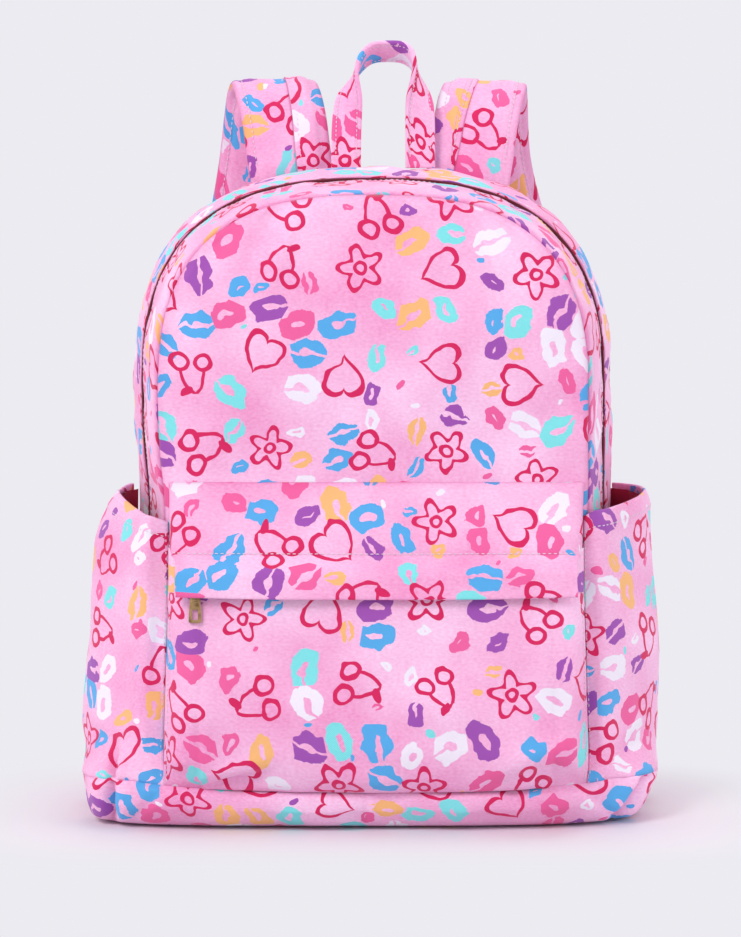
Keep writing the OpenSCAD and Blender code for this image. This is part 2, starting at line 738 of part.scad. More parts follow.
module side_pocket_left() { side_pocket(-1); }
module side_pocket_right() { side_pocket(1); }
module side_pocket_lining_left() { side_pocket_lining(-1); }
module side_pocket_lining_right() { side_pocket_lining(1); }
module side_pocket_hem_left() { side_pocket_hem(-1); }
module side_pocket_hem_right() { side_pocket_hem(1); }

// ---------- shoulder straps ----------

// Middle line of the left strap, from its anchor over the fold and down the back
strap_root = [-strap_x, y_back + 11.5, body_h - 14];
strap_route = [
    [0, 0, 0], [-4, 1, 24], [-7, 5, 46], [-11, 14, 63], [-15, 27, 70], [-19, 40, 63], [-22, 48, 44],
    [-26, 50, 12], [-35, 46, -40], [-45, 39, -100], [-51, 33, -160], [-50, 29, -215], [-47, 26, -258]
];

function catmull(p, i, t) =
    let(n = len(p), a = p[max(0, i - 1)], b = p[i], c = p[min(n - 1, i + 1)], d = p[min(n - 1, i + 2)])
    0.5 * (2 * b + (c - a) * t + (2 * a - 5 * b + 4 * c - d) * t * t + (3 * b - a - 3 * c + d) * t * t * t);

function smooth(p, k) =
    concat([for (i = [0:len(p) - 2], j = [0:k - 1]) catmull(p, i, j / k)], [p[len(p) - 1]]);

function unit(v) = v / norm(v);
function tangent(p, i) = unit(p[min(len(p) - 1, i + 1)] - p[max(0, i - 1)]);

// Width direction and outward normal of a strap at a point of its route
function across(t) = unit([1, 0, 0] - t * t[0]);
function outward(t) = cross(t, across(t));

strap_line = smooth([for (p = strap_route) strap_root + p], 2);

// Share of the full width along the strap: it narrows into the tab at its lower end
function strap_taper(s) = s > 0.94 ? 1 - 4.2 * (s - 0.94) : 1;

// Closed section of a padded strap, as offsets across and outwards
function pad_section(w, t) = let(r = t * 0.42)
    [[w / 2 - r, -t / 2], [w / 2 - r * 0.3, -t / 2 + r * 0.3], [w / 2, -t / 2 + r], [w / 2, t / 2 - r],
     [w / 2 - r * 0.3, t / 2 - r * 0.3], [w / 2 - r, t / 2],
     [-w / 2 + r, t / 2], [-w / 2 + r * 0.3, t / 2 - r * 0.3], [-w / 2, t / 2 - r], [-w / 2, -t / 2 + r],
     [-w / 2 + r * 0.3, -t / 2 + r * 0.3], [-w / 2 + r, -t / 2]];

function mirrored(side, p) = [-side * p[0], p[1], p[2]];

// Moves a left or right strap's parts to their place on the back panel
module on_back() { translate([top_shift, 0, 0]) children(); }

function turned(side, rings) = side < 0 ? rings
    : [for (r = rings) [for (i = [len(r) - 1:-1:0]) mirrored(side, r[i])]];

function strap_rings(w, t, i0, i1) = let(n = len(strap_line) - 1)
    [for (i = [i0:i1]) let(d = tangent(strap_line, i), k = strap_taper(i / n))
        [for (q = pad_section(w * k, t)) strap_line[i] + across(d) * q[0] + outward(d) * q[1]]];

module strap_cover(side) {
    last = len(strap_line) - 1;
    color(light_pink) on_back() tube(
        turned(side, strap_rings(strap_w, strap_t, 0, last)),
        turned(side, strap_rings(strap_w - 2 * strap_cover_t, strap_t - 2 * strap_cover_t, 0, last)));
}

module strap_foam(side) {
    last = len(strap_line) - 1;
    inset = strap_cover_t + 0.1;
    color(foam_grey) on_back()
        loft(turned(side, strap_rings(strap_w - 2 * inset, strap_t - 2 * inset, 0, last - 1)));
}

module strap_cover_left() { strap_cover(-1); }
module strap_cover_right() { strap_cover(1); }
module strap_foam_left() { strap_foam(-1); }
module strap_foam_right() { strap_foam(1); }

// ---------- ladder locks and webbing ----------

strap_end = strap_line[len(strap_line) - 1];
strap_end_dir = tangent(strap_line, len(strap_line) - 1);
lock_w = webbing_w + 8;
lock_h = 24;
lock_t = 4;
lock_bar = 3.4;
lock_drop = 15;
lock_c = strap_end + strap_end_dir * lock_drop;

// Moves a shape drawn across X and down -Y to the lower end of a strap
module at_strap_end(side, p) {
    tilt = atan2(strap_end_dir[1], -strap_end_dir[2]);
    mirror([side > 0 ? 1 : 0, 0, 0]) translate(p) rotate([90 + tilt, 0, 0]) children();
}

module ladder_lock(side) {
    slot_h = (lock_h - 3 * lock_bar) / 2;
    color(white) on_back() at_strap_end(side, lock_c) translate([0, 0, -lock_t / 2]) linear_extrude(lock_t)
        difference() {
            square([lock_w, lock_h], center = true);
            for (y = [-lock_h / 2 + lock_bar, lock_bar / 2])
                translate([-webbing_w / 2 - 0.8, y]) square([webbing_w + 1.6, slot_h]);
        }
}

// Webbing tab that holds the ladder lock to the strap's end
module ladder_lock_tab(side) {
    gap = 0.3;
    tab_w = webbing_w - 1;
    y1 = lock_drop - 0.3;
    y0 = lock_h / 2 - lock_bar - gap - webbing_t;
    color(deep_pink) on_back() at_strap_end(side, lock_c) rotate([90, 0, 90])
        translate([0, 0, -tab_w / 2]) linear_extrude(tab_w) difference() {
            translate([y0, -lock_t / 2 - gap - webbing_t])
                square([y1 - y0, lock_t + 2 * (gap + webbing_t)]);
            translate([y0 + webbing_t, -lock_t / 2 - gap]) square([lock_bar + 2 * gap, lock_t + 2 * gap]);
        }
}

anchor_x = 143;
anchor_z = 62;
wing_t = 3;
wing_y = y_back + back_cover_t + 0.2;

// Triangular tab in the side seam that holds the lower end of the webbing
module anchor_wing(side) {
    color(pink) translate([0, wing_y + wing_t, 0]) rotate([90, 0, 0]) linear_extrude(wing_t)
        polygon([for (p = [[anchor_x + 19, anchor_z - 20], [anchor_x + 18, anchor_z + 28],
            [anchor_x - 4, anchor_z + 18], [anchor_x - 14, anchor_z - 2]]) [side * p[0], p[1]]]);
}

// Middle line of the left webbing, from the ladder lock down to the anchor wing
webbing_route = [
    [-105, 104.4, 128], [-108, 104.6, 115], [-114, 100, 101], [-121, 92, 88], [-129, 82, 77],
    [-137, 76.6, 69], [-144, 75.8, 62]
];
webbing_line = smooth(webbing_route, 2);
function webbing_point(side, i) = let(n = len(webbing_line) - 1, p = webbing_line[i])
    [p[0] - side * top_shift * (1 - i / n), p[1], p[2]];

module webbing(side) {
    n = len(webbing_line) - 1;
    lean = unit([1, 0, -1]);
    color(deep_pink) loft(turned(side, [for (i = [0:n])
        let(d = tangent(webbing_line, i), p = webbing_point(side, i),
            w = unit(lean * (i / n) + [1, 0, 0] * (1 - i / n)),
            a = unit(w - d * (w * d)), o = cross(d, a))
        [for (q = [[1, -1], [1, 1], [-1, 1], [-1, -1]])
            p + a * q[0] * webbing_w / 2 + o * q[1] * webbing_t / 2]]));
}

module ladder_lock_left() { ladder_lock(-1); }
module ladder_lock_right() { ladder_lock(1); }
module ladder_lock_tab_left() { ladder_lock_tab(-1); }
module ladder_lock_tab_right() { ladder_lock_tab(1); }
module anchor_wing_left() { anchor_wing(-1); }
module anchor_wing_right() { anchor_wing(1); }
module webbing_left() { webbing(-1); }
module webbing_right() { webbing(1); }

// ---------- haul loop and anchor patch ----------

patch_t = 1.6;
patch_y = y_back + back_cover_t + 0.2;

// Reinforcement sewn across the back panel, over the roots of the straps and the loop
module strap_anchor_patch() {
    margin = 6;
    low = 48;
    shoulder = 20;
    top = 10;
    w = strap_x + strap_w / 2 + margin;
    color(pink) translate([top_shift, patch_y + patch_t, 0]) rotate([90, 0, 0]) linear_extrude(patch_t)
        polygon([[-w, body_h - low], [w, body_h - low], [w - top, body_h - shoulder],
            [w / 2, body_h - top], [-w / 2, body_h - top], [-w + top, body_h - shoulder]]);
}

// Middle line of the haul loop, from its left foot over the crown to its right foot. It stands in
// the top seam, leans back and sways to the right, and its feet stay in the seam.
loop_root_z = body_h + 0.6;
loop_y = y_back + 0.2 + loop_t / 2;
loop_lean = 14;
loop_x = top_shift + 2;
loop_sway = 4;
loop_steps = 24;
loop_tilt = 43;
loop_line = [for (i = [0:loop_steps])
    let(a = 180 - 180 * i / loop_steps, s = sin(a), c = cos(a))
    [loop_x + loop_sway * s * s + loop_spacing / 2 * sign(c) * pow(abs(c), 0.55),
     loop_y + loop_lean * s * s,
     loop_root_z + (loop_rise - loop_w / 2 * sin(loop_tilt)) * pow(s, 0.62)]];

// The band faces forwards at its feet and turns outwards until it faces up and back at its crown
module haul_loop() {
    n = loop_steps;
    crown_edge = [0, -cos(loop_tilt), sin(loop_tilt)];
    color(pink) loft([for (i = [0:n])
        let(d = i == 0 ? [0, 0, 1] : i == n ? [0, 0, -1] : tangent(loop_line, i), s = sin(180 * i / n),
            turn = s * s * (3 - 2 * s), foot_edge = [i < n / 2 ? 1 : -1, 0, 0],
            edge = foot_edge * (1 - turn) + crown_edge * turn,
            a = unit(edge - d * (edge * d)), o = cross(d, a))
        [for (q = [[1, -1], [1, 1], [-1, 1], [-1, -1]])
            loop_line[i] + a * q[0] * loop_w / 2 + o * q[1] * loop_t / 2]]);
}

back_cover();
back_foam();
back_lining();
rear_gusset();
rear_zip_flap();
rear_seam_binding();
lower_side_panel_left();
lower_side_panel_right();
front_gusset_lower();
front_zip_flap_lower();
front_panel_lower();
base_tub();
base_board();
main_zip_tape_rear();
main_zip_coil_rear();
main_zip_tape_front_lower();
main_zip_coil_front_lower();
main_zip_end_tabs();
laptop_sleeve();
sleeve_binding();
pocket_face();
pocket_top_band();
pocket_zip_tape_upper();
pocket_zip_tape_lower();
pocket_zip_coil_upper();
pocket_zip_coil_lower();
side_pocket_left();
side_pocket_right();
side_pocket_lining_left();
side_pocket_lining_right();
side_pocket_hem_left();
side_pocket_hem_right();
anchor_wing_left();
anchor_wing_right();
webbing_left();
webbing_right();
strap_anchor_patch();
front_panel_upper();
front_gusset_upper();
front_zip_flap_upper();
main_zip_tape_front_upper();
main_zip_coil_front_upper();
lid_lining();
main_slider();
main_puller();
pocket_slider();
pocket_puller();
pocket_flap();
strap_cover_left();
strap_cover_right();
strap_foam_left();
strap_foam_right();
ladder_lock_left();
ladder_lock_right();
ladder_lock_tab_left();
ladder_lock_tab_right();
haul_loop();
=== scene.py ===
"""School backpack: printed panels, zips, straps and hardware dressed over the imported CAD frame.

Metres, +Z up, the front faces -Y. Every soft panel is a grid of points worked out with numpy from
the same sizes as the CAD solids, and carries a map named cloth in metres along the fabric.
"""

import logging
import math
from dataclasses import dataclass
from enum import Enum
from typing import Optional, Union

import bmesh
import bpy
import numpy as np
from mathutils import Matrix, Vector


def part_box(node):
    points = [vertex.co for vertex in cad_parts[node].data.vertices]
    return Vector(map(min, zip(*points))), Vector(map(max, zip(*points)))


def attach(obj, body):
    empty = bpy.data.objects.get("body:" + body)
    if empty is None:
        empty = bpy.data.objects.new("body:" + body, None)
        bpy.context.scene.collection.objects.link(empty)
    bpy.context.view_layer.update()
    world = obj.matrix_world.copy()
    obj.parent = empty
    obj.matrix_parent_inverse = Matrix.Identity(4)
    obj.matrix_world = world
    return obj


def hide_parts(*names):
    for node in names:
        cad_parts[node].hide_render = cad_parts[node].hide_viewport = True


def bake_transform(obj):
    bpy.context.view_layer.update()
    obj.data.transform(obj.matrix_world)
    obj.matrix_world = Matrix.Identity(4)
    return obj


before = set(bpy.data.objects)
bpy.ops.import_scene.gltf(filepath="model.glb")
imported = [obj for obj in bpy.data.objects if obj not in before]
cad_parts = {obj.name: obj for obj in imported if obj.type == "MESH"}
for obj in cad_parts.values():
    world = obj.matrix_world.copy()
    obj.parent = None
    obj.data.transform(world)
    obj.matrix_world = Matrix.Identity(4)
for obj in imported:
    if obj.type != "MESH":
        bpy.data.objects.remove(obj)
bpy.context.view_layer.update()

log = logging.getLogger("backpack")
Array = np.ndarray
Pair = tuple[float, float]
Point = tuple[float, float, float]
Piece = bpy.types.Object
Socket = bpy.types.NodeSocket
Number = Union[float, "Term"]
CLOTH_MAP = "cloth"
# Point attribute with painted shade from 0 to 1 in seams, grooves, pleats and along the base's bottom edge;
# the materials darken the colour by it.
SEAM_SHADE = "seam"
BACK = slice(None, None, -1)
ALL = slice(None)


# ---------------------------------------------------------------- numbers


def ease(low: float, high: float, x: Array) -> Array:
    """Smooth step from 0 at low to 1 at high, which falls with x where high is below low.

    Args:
        low: Where the step is 0.
        high: Where the step is 1.
        x: Values to look up.

    Returns:
        3t^2 - 2t^3 of the clipped share t.
    """
    t = np.clip((np.asarray(x, float) - low) / (high - low), 0.0, 1.0)
    return t * t * (3.0 - 2.0 * t)


def quarter(t: Array) -> Array:
    """Quarter sine: rises from 0 to 1 as t goes from 0 to 1, and is level outside."""
    return np.sin(math.pi / 2 * np.clip(t, 0, 1))


def bump(x: Array, centre: float, width: float) -> Array:
    """Bell exp(-((x - centre) / width)^2)."""
    return np.exp(-(((x - centre) / width) ** 2))


def fade(distance: Array, reach: float) -> Array:
    """Decay exp(-distance / reach) away from a seam."""
    return np.exp(-np.maximum(distance, 0.0) / reach)


class Crumple:
    """Repeatable smooth noise on a plane, for creases and waves in cloth."""

    SIZE = 61

    def __init__(self, seed: int) -> None:
        """Fills a square table with numbers from -1 to 1.

        Args:
            seed: Start of the random numbers.
        """
        self.table = np.random.default_rng(seed).uniform(-1.0, 1.0, (self.SIZE, self.SIZE))

    def __call__(self, u: Array, v: Array, octaves: int = 1) -> Array:
        """Noise at u, v, in cells of one unit: table values joined by the ease curve.

        Args:
            u: First coordinate, in cells.
            v: Second coordinate, in cells.
            octaves: How many finer layers are added, each at half the height.

        Returns:
            Heights from about -1 to 1.
        """
        u, v = np.broadcast_arrays(np.asarray(u, float), np.asarray(v, float))
        total = np.zeros(u.shape)
        for octave in range(octaves):
            scale = 2.0**octave
            x, y = u * scale + 7.3 * octave, v * scale + 3.1 * octave
            i, j = np.floor(x).astype(int), np.floor(y).astype(int)
            s, t = ease(0, 1, x - i), ease(0, 1, y - j)
            i0, i1, j0, j1 = (k % self.SIZE for k in (i, i + 1, j, j + 1))
            low = self.table[i0, j0] * (1 - s) + self.table[i1, j0] * s
            high = self.table[i0, j1] * (1 - s) + self.table[i1, j1] * s
            total += (low * (1 - t) + high * t) / scale
        return total

    def waves(self, u: Array, v: Array, height: float, cells: Pair, shift: Pair = (0.0, 0.0),
              octaves: int = 1) -> Array:
        """Soft waves.

        Args:
            u: First coordinate.
            v: Second coordinate.
            height: Greatest height.
            cells: Size of a cell along u and along v.
            shift: Cells by which the noise is moved.
            octaves: How many finer layers are added.

        Returns:
            height * noise(u / cells[0] + shift[0], v / cells[1] + shift[1]).
        """
        return height * self(u / cells[0] + shift[0], v / cells[1] + shift[1], octaves)

    def folds(self, u: Array, v: Array) -> Array:
        """Sharp-crested folds: 1 - 2|noise|, from -1 to 1."""
        return 1.0 - 2.0 * np.abs(self(u, v))


def puckers(noise: Crumple, run: Array, row: Array, away: Array, height: float, cell: float, reach: float,
            rise: float) -> Array:
    """Short waves along a seam, which start a little off it and fade away from it.

    Args:
        noise: Noise that the waves follow.
        run: Position along the seam.
        row: Row of the noise.
        away: Distance from the seam.
        height: Greatest height.
        cell: Length of half a wave.
        reach: Distance over which the waves fade.
        rise: Distance over which they start.

    Returns:
        height * noise(run / cell, row) * fade(away, reach) * ease(0, rise, away).
    """
    return height * noise(run / cell, row) * fade(away, reach) * ease(0, rise, away)


def unit(vectors: Array) -> Array:
    """Vectors along the last axis, scaled to length 1."""
    return vectors / np.maximum(np.linalg.norm(vectors, axis=-1, keepdims=True), 1e-12)


def lengths(points: Array) -> Array:
    """Distance run along a line of points, starting at 0."""
    steps = np.linalg.norm(np.diff(points, axis=0), axis=1)
    return np.concatenate([[0.0], np.cumsum(steps)])


def rows_at(wanted: Array, run: Array, table: Array) -> Array:
    """Rows of a table at wanted places along run, joined linearly."""
    return np.stack([np.interp(wanted, run, column) for column in table.T], axis=1)


def evened(line: Array, values: Array, count: int, endpoint: bool = True) -> Array:
    """Values that belong to a line's points, taken at evenly spaced places along it."""
    run = lengths(line)
    return np.interp(np.linspace(0, run[-1], count, endpoint=endpoint), run, values)


def even(points: Array, count: int) -> Array:
    """The same line with its points spread evenly.

    Args:
        points: Line of points, one per row.
        count: Number of points wanted.

    Returns:
        Points at equal steps of length, joined by straight pieces.
    """
    run = lengths(points)
    return rows_at(np.linspace(0.0, run[-1], count), run, points)


def through(points: Array, per_span: int) -> Array:
    """Catmull-Rom curve through the points.

    Args:
        points: Control points, one per row.
        per_span: Points made in each span.

    Returns:
        Points of (2b + (c-a)t + (2a-5b+4c-d)t^2 + (3b-a-3c+d)t^3) / 2 in each span.
    """
    p = np.vstack([points[:1], points, points[-1:]])
    a, b, c, d = p[:-3, None], p[1:-2, None], p[2:-1, None], p[3:, None]
    t = np.linspace(0.0, 1.0, per_span, endpoint=False)[None, :, None]
    spans = 0.5 * (2 * b + (c - a) * t + (2 * a - 5 * b + 4 * c - d) * t**2 + (3 * b - a - 3 * c + d) * t**3)
    return np.vstack([spans.reshape(-1, points.shape[1]), points[-1:]])


def seam_field(points: Array, seam: Array) -> tuple[Array, Array]:
    """Distance to a seam and position along it.

    Args:
        points: Grid of flat points, shape (..., 2).
        seam: The seam's own points, shape (n, 2).

    Returns:
        Distance to the nearest seam point, and the length run along the seam there.
    """
    flat = points.reshape(-1, 2)
    run, course = lengths(seam), unit(np.gradient(seam, axis=0))
    squared = (flat**2).sum(1)[:, None] - 2.0 * flat @ seam.T + (seam**2).sum(1)[None, :]
    nearest = squared.argmin(1)
    off, ahead = flat - seam[nearest], course[nearest]
    forward = (off * ahead).sum(1)
    aside = np.abs(off[:, 0] * ahead[:, 1] - off[:, 1] * ahead[:, 0])
    past = np.maximum(np.abs(forward) - run[-1] / len(seam), 0.0)
    away = np.hypot(aside, past)
    return away.reshape(points.shape[:-1]), (run[nearest] + forward).reshape(points.shape[:-1])


def straight(start: Array, end: Array, count: int) -> Array:
    """Evenly spaced points from start to end."""
    return start + (end - start) * np.linspace(0, 1, count)[:, None]


def grid_of(x: Array, y: Array, z: Array) -> Array:
    """Grid of points from coordinates that are grids, rows, columns or single numbers."""
    return np.stack(np.broadcast_arrays(x, y, z), axis=2)


def hand(side: int) -> str:
    """Name of a side: left for -1, right for 1."""
    return "left" if side < 0 else "right"


def coons(bottom: Array, right: Array, top: Array, left: Array) -> Array:
    """Grid between four edge curves, as the sum of both ruled patches less the corner patch.

    Args:
        bottom: Points from left to right.
        right: Points from the bottom up.
        top: Points from left to right.
        left: Points from the bottom up.

    Returns:
        Grid of points, rows going up and columns going right.
    """
    u = np.linspace(0.0, 1.0, len(bottom))[None, :, None]
    v = np.linspace(0.0, 1.0, len(left))[:, None, None]
    across = (1 - u) * left[:, None] + u * right[:, None]
    up = (1 - v) * bottom[None] + v * top[None]
    corners = ((1 - u) * (1 - v) * bottom[0] + u * (1 - v) * bottom[-1]
               + (1 - u) * v * top[0] + u * v * top[-1])
    return across + up - corners


# ---------------------------------------------------------------- surfaces


@dataclass
class Surface:
    """Grid of points with its place on the cloth: rows go up, columns go right, seen from outside."""

    points: Array
    cloth: Array
    ring: bool = False
    # Painted shade for each point, written to the seam attribute.
    shade: Optional[Array] = None

    def normals(self) -> Array:
        """Outward normals: the cross product of the steps along columns and rows."""
        if self.ring:
            p = np.concatenate([self.points[:, -1:], self.points, self.points[:, :1]], axis=1)
            across = (p[:, 2:] - p[:, :-2]) / 2.0
        else:
            across = np.gradient(self.points, axis=1)
        return unit(np.cross(across, np.gradient(self.points, axis=0)))

    def raised(self, height: Array) -> "Surface":
        """The surface moved along its normals by height."""
        moved = self.points + self.normals() * np.asarray(height)[..., None]
        return Surface(moved, self.cloth, self.ring, self.shade)

    def picked(self, rows: slice, cols: slice) -> "Surface":
        """The surface with its rows and columns in another order."""
        shade = None if self.shade is None else self.shade[rows, cols]
        return Surface(self.points[rows, cols], self.cloth[rows, cols], self.ring, shade)

    def line(self, rows: Array, cols: Array) -> tuple[Array, Array]:
        """Points and normals along a path given in fractional rows and columns.

        Args:
            rows: Row numbers, from 0 to the last row.
            cols: Column numbers, from 0 to the last column.

        Returns:
            Positions and outward normals, joined linearly between grid points.
        """
        n, m = self.points.shape[:2]
        rows, cols = np.broadcast_arrays(np.asarray(rows, float), np.asarray(cols, float))
        i = np.clip(np.floor(rows).astype(int), 0, n - 2)
        j = np.clip(np.floor(cols).astype(int), 0, m - 2)
        s, t = (rows - i)[:, None], (cols - j)[:, None]
        found = []
        for grid in (self.points, self.normals()):
            low = grid[i, j] * (1 - t) + grid[i, j + 1] * t
            high = grid[i + 1, j] * (1 - t) + grid[i + 1, j + 1] * t
            found.append(low * (1 - s) + high * s)
        return found[0], unit(found[1])


def cloth_of(points: Array, at: Pair = (0.0, 0.0), ring: bool = False) -> Array:
    """Cloth coordinates of a grid: lengths run along its rows and columns.

    Args:
        points: Grid of points.
        at: Where the middle of the first row lies on the cloth, in metres.
        ring: Whether the last column joins the first, which needs one more column here.

    Returns:
        Grid of cloth coordinates in metres.
    """
    if ring:
        points = np.concatenate([points, points[:, :1]], axis=1)
    across = np.cumsum(np.linalg.norm(np.diff(points, axis=1, prepend=points[:, :1]), axis=2), axis=1)
    across -= across[:, across.shape[1] // 2][:, None]
    up = np.cumsum(np.linalg.norm(np.diff(points, axis=0, prepend=points[:1]), axis=2), axis=0)
    return np.stack([across + at[0], up + at[1]], axis=2)


def hemmed(surface: Surface, radius: float, depth: float, rows: int = 4) -> Surface:
    """Folds the top edge over to the inside.

    Args:
        surface: The cloth, with its free edge as its last row.
        radius: Radius of the fold.
        depth: How far the folded layer reaches back down.
        rows: Rows in the turn and in the folded layer.

    Returns:
        The cloth with a half circle and a layer behind it added past its edge.
    """
    p, n = surface.points, surface.normals()
    up = unit(p[-1] - p[-3])
    edge, out = p[-1], n[-1]
    turn = [edge + out * radius * (math.cos(a) - 1) + up * radius * math.sin(a)
            for a in np.linspace(0, math.pi, rows + 1)[1:]]
    away = depth * np.arange(1, rows + 1) / rows / np.linalg.norm(p[-2] - p[-3], axis=1).mean()
    row = np.clip(len(p) - 1 - away, 0, len(p) - 1.001)
    first, part = row.astype(int), (row % 1)[:, None, None]
    below = p[first] * (1 - part) + p[first + 1] * part
    back = below - 2 * radius * n[first]
    extra = np.concatenate([np.stack(turn), back])
    points = np.concatenate([p, extra])
    step = np.linalg.norm(np.diff(np.concatenate([p[-1:], extra]), axis=0), axis=2).cumsum(0)
    cloth = np.concatenate([surface.cloth, surface.cloth[-1:] + np.stack([0 * step, step], axis=2)])
    shade = None if surface.shade is None else np.concatenate([surface.shade, 0 * step + surface.shade[-1:]])
    return Surface(points, cloth, surface.ring, shade)


def swept(path: Array, side: Array, lift: Array, section: Array, at: Pair = (0.0, 0.0)) -> Surface:
    """Closed profile carried along a path.

    Args:
        path: Centre line, shape (n, 3).
        side: Unit vectors across the path.
        lift: Unit vectors standing on the path.
        section: Offsets along side and lift, shape (k, 2) or (n, k, 2).
        at: Where the piece lies on the cloth.

    Returns:
        A ring surface with one row per path point: path + side * a + lift * b.
    """
    s = np.broadcast_to(section, (len(path),) + section.shape[-2:])
    points = path[:, None] + side[:, None] * s[..., :1] + lift[:, None] * s[..., 1:]
    return Surface(points, cloth_of(points, at, ring=True), ring=True)


def smooth_mesh(name: str, points: Array, faces: list) -> bpy.types.Mesh:
    """Smooth-shaded mesh with an empty cloth map.

    Args:
        name: Name of the mesh.
        points: Its points, in any grid shape.
        faces: Its faces, as point numbers.

    Returns:
        The mesh.
    """
    mesh = bpy.data.meshes.new(name)
    mesh.from_pydata(points.reshape(-1, 3).tolist(), [], faces)
    mesh.uv_layers.new(name=CLOTH_MAP)
    mesh.polygons.foreach_set("use_smooth", np.ones(len(mesh.polygons), bool))
    mesh.update()
    return mesh


def linked(name: str, data: bpy.types.ID) -> Piece:
    """New object in the scene that shows a mesh, lamp or camera.

    Args:
        name: Name of the object.
        data: What it shows.

    Returns:
        The object.
    """
    thing = bpy.data.objects.new(name, data)
    bpy.context.scene.collection.objects.link(thing)
    return thing


def two_faced(across: Array, half: Array) -> Array:
    """Closed section of a flat band: its under side, then its upper side back again."""
    return np.concatenate([np.stack([across, -half], axis=1), np.stack([across, half], axis=1)[::-1]])


def make_piece(name: str, surfaces: list[Surface], closed: bool = False) -> Piece:
    """Puts surfaces into one mesh object.

    Args:
        name: Object name.
        surfaces: The grids that make up the piece.
        closed: Whether the first and last row of a ring are capped with a fan.

    Returns:
        The new object, linked to the scene.
    """
    points, faces, maps, shades, start = [], [], [], [], 0
    for s in surfaces:
        n, m = s.points.shape[:2]
        span = m if s.ring else m - 1
        i, j = np.meshgrid(np.arange(n - 1), np.arange(span), indexing="ij")
        corner = [(i, j), (i, j + 1), (i + 1, j + 1), (i + 1, j)]
        quads = np.stack([a * m + b % m for a, b in corner], axis=-1).reshape(-1, 4)
        flat = s.cloth.reshape(-1, 2)
        width = s.cloth.shape[1]
        maps.append(flat[np.stack([a * width + b for a, b in corner], axis=-1).reshape(-1)])
        points.append(s.points.reshape(-1, 3))
        shades.append(np.zeros(n * m) if s.shade is None else s.shade.reshape(-1))
        faces.extend((quads + start).tolist())
        if closed and s.ring:
            for row, order in ((0, -1), (n - 1, 1)):
                loop = (start + row * m + np.arange(m))[::order]
                faces.append(loop.tolist())
                maps.append(s.cloth[row, :m][::order])
        start += n * m
    mesh = smooth_mesh(name, np.concatenate(points), faces)
    mesh.uv_layers[CLOTH_MAP].data.foreach_set("uv", np.concatenate(maps).astype(np.float32).ravel())
    # Painted shade for seams, grooves and pleats, which the materials darken the colour by.
    painted_seam_shade = mesh.attributes.new(SEAM_SHADE, "FLOAT", "POINT")
    painted_seam_shade.data.foreach_set("value", np.concatenate(shades).astype(np.float32))
    return linked(name, mesh)


@dataclass
class Placing:
    """How a piece hangs on the frame: its body or pair of bodies and the CAD nodes it hides; the slot, start
    and end are kept but not used here.
    """

    body: str
    nodes: tuple[str, ...] = ()
    slot: str = "printed_fabric"
    other: str = ""
    start: Point = (0.0, 0.0, 0.0)
    end: Point = (0.0, 0.0, 0.0)

    def sewn(self, name: str, surfaces: list[Surface], thickness: float, *finishes: "Finish") -> Piece:
        """Makes a cloth piece and places it.

        Args:
            name: Object name.
            surfaces: The grids that make up the piece.
            thickness: Thickness in metres, towards the inside.
            finishes: Finish of the outer side, and of the inner side where it's another.

        Returns:
            The piece.
        """
        piece = self.place(make_piece(name, surfaces), *finishes)
        wall = piece.modifiers.new("thickness", "SOLIDIFY")
        wall.thickness, wall.offset, wall.material_offset = thickness, -1.0, len(finishes) - 1
        return piece

    def printed(self, name: str, surfaces: list[Surface], thickness: float) -> Piece:
        """Makes and places a piece of printed cloth with its lining on the inner side."""
        return self.sewn(name, surfaces, thickness, PRINT, LINING)

    def place(self, piece: Piece, *finishes: "Finish") -> Piece:
        """Dresses a piece and ties it to its body, or, for a piece between two bodies, fixes its shape where
        it stands.

        Args:
            piece: The piece.
            finishes: Finishes of its material slots.

        Returns:
            The same piece.
        """
        for finish in finishes:
            piece.data.materials.append(finish.material())
        if self.other:
            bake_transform(piece)
        else:
            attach(piece, self.body)
        if self.nodes:
            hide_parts(*self.nodes)
        log.info("%s: %d faces on %s", piece.name, len(piece.data.polygons), self.body)
        return piece


# ---------------------------------------------------------------- finishes


class Tone(Enum):
    """Colours of the backpack, as sRGB values from 0 to 255."""

    PINK = (240, 144, 198)
    PALE_PINK = (255, 214, 246)
    ROSE = (240, 98, 162)
    CRIMSON = (216, 22, 94)
    WHITE = (243, 236, 250)
    SKY = (84, 172, 234)
    AQUA = (128, 228, 232)
    PEACH = (250, 188, 122)
    PURPLE = (160, 80, 178)
    LINING = (206, 22, 78)
    LINING_SHADE = (146, 8, 46)
    # Deep crimson: the binding's darker tone, and the zip facing's colour, darkened to paint the shadow in
    # the zip groove.
    DEEP = (112, 10, 38)
    TAPE = (150, 20, 58)
    COIL = (84, 10, 34)
    BRASS = (216, 182, 132)
    BRASS_DARK = (112, 84, 56)
    THREAD = (250, 226, 244)
    WEBBING = (236, 118, 176)
    BUCKLE = (238, 150, 196)
    BOARD = (52, 50, 56)
    BACKDROP = (236, 235, 241)
    FLOOR = (227, 225, 231)

    @property
    def linear(self) -> tuple[float, float, float, float]:
        """The colour in scene-linear values, with alpha 1."""
        c = np.array(self.value) / 255.0
        c = np.where(c <= 0.04045, c / 12.92, ((c + 0.055) / 1.055) ** 2.4)
        return (float(c[0]), float(c[1]), float(c[2]), 1.0)


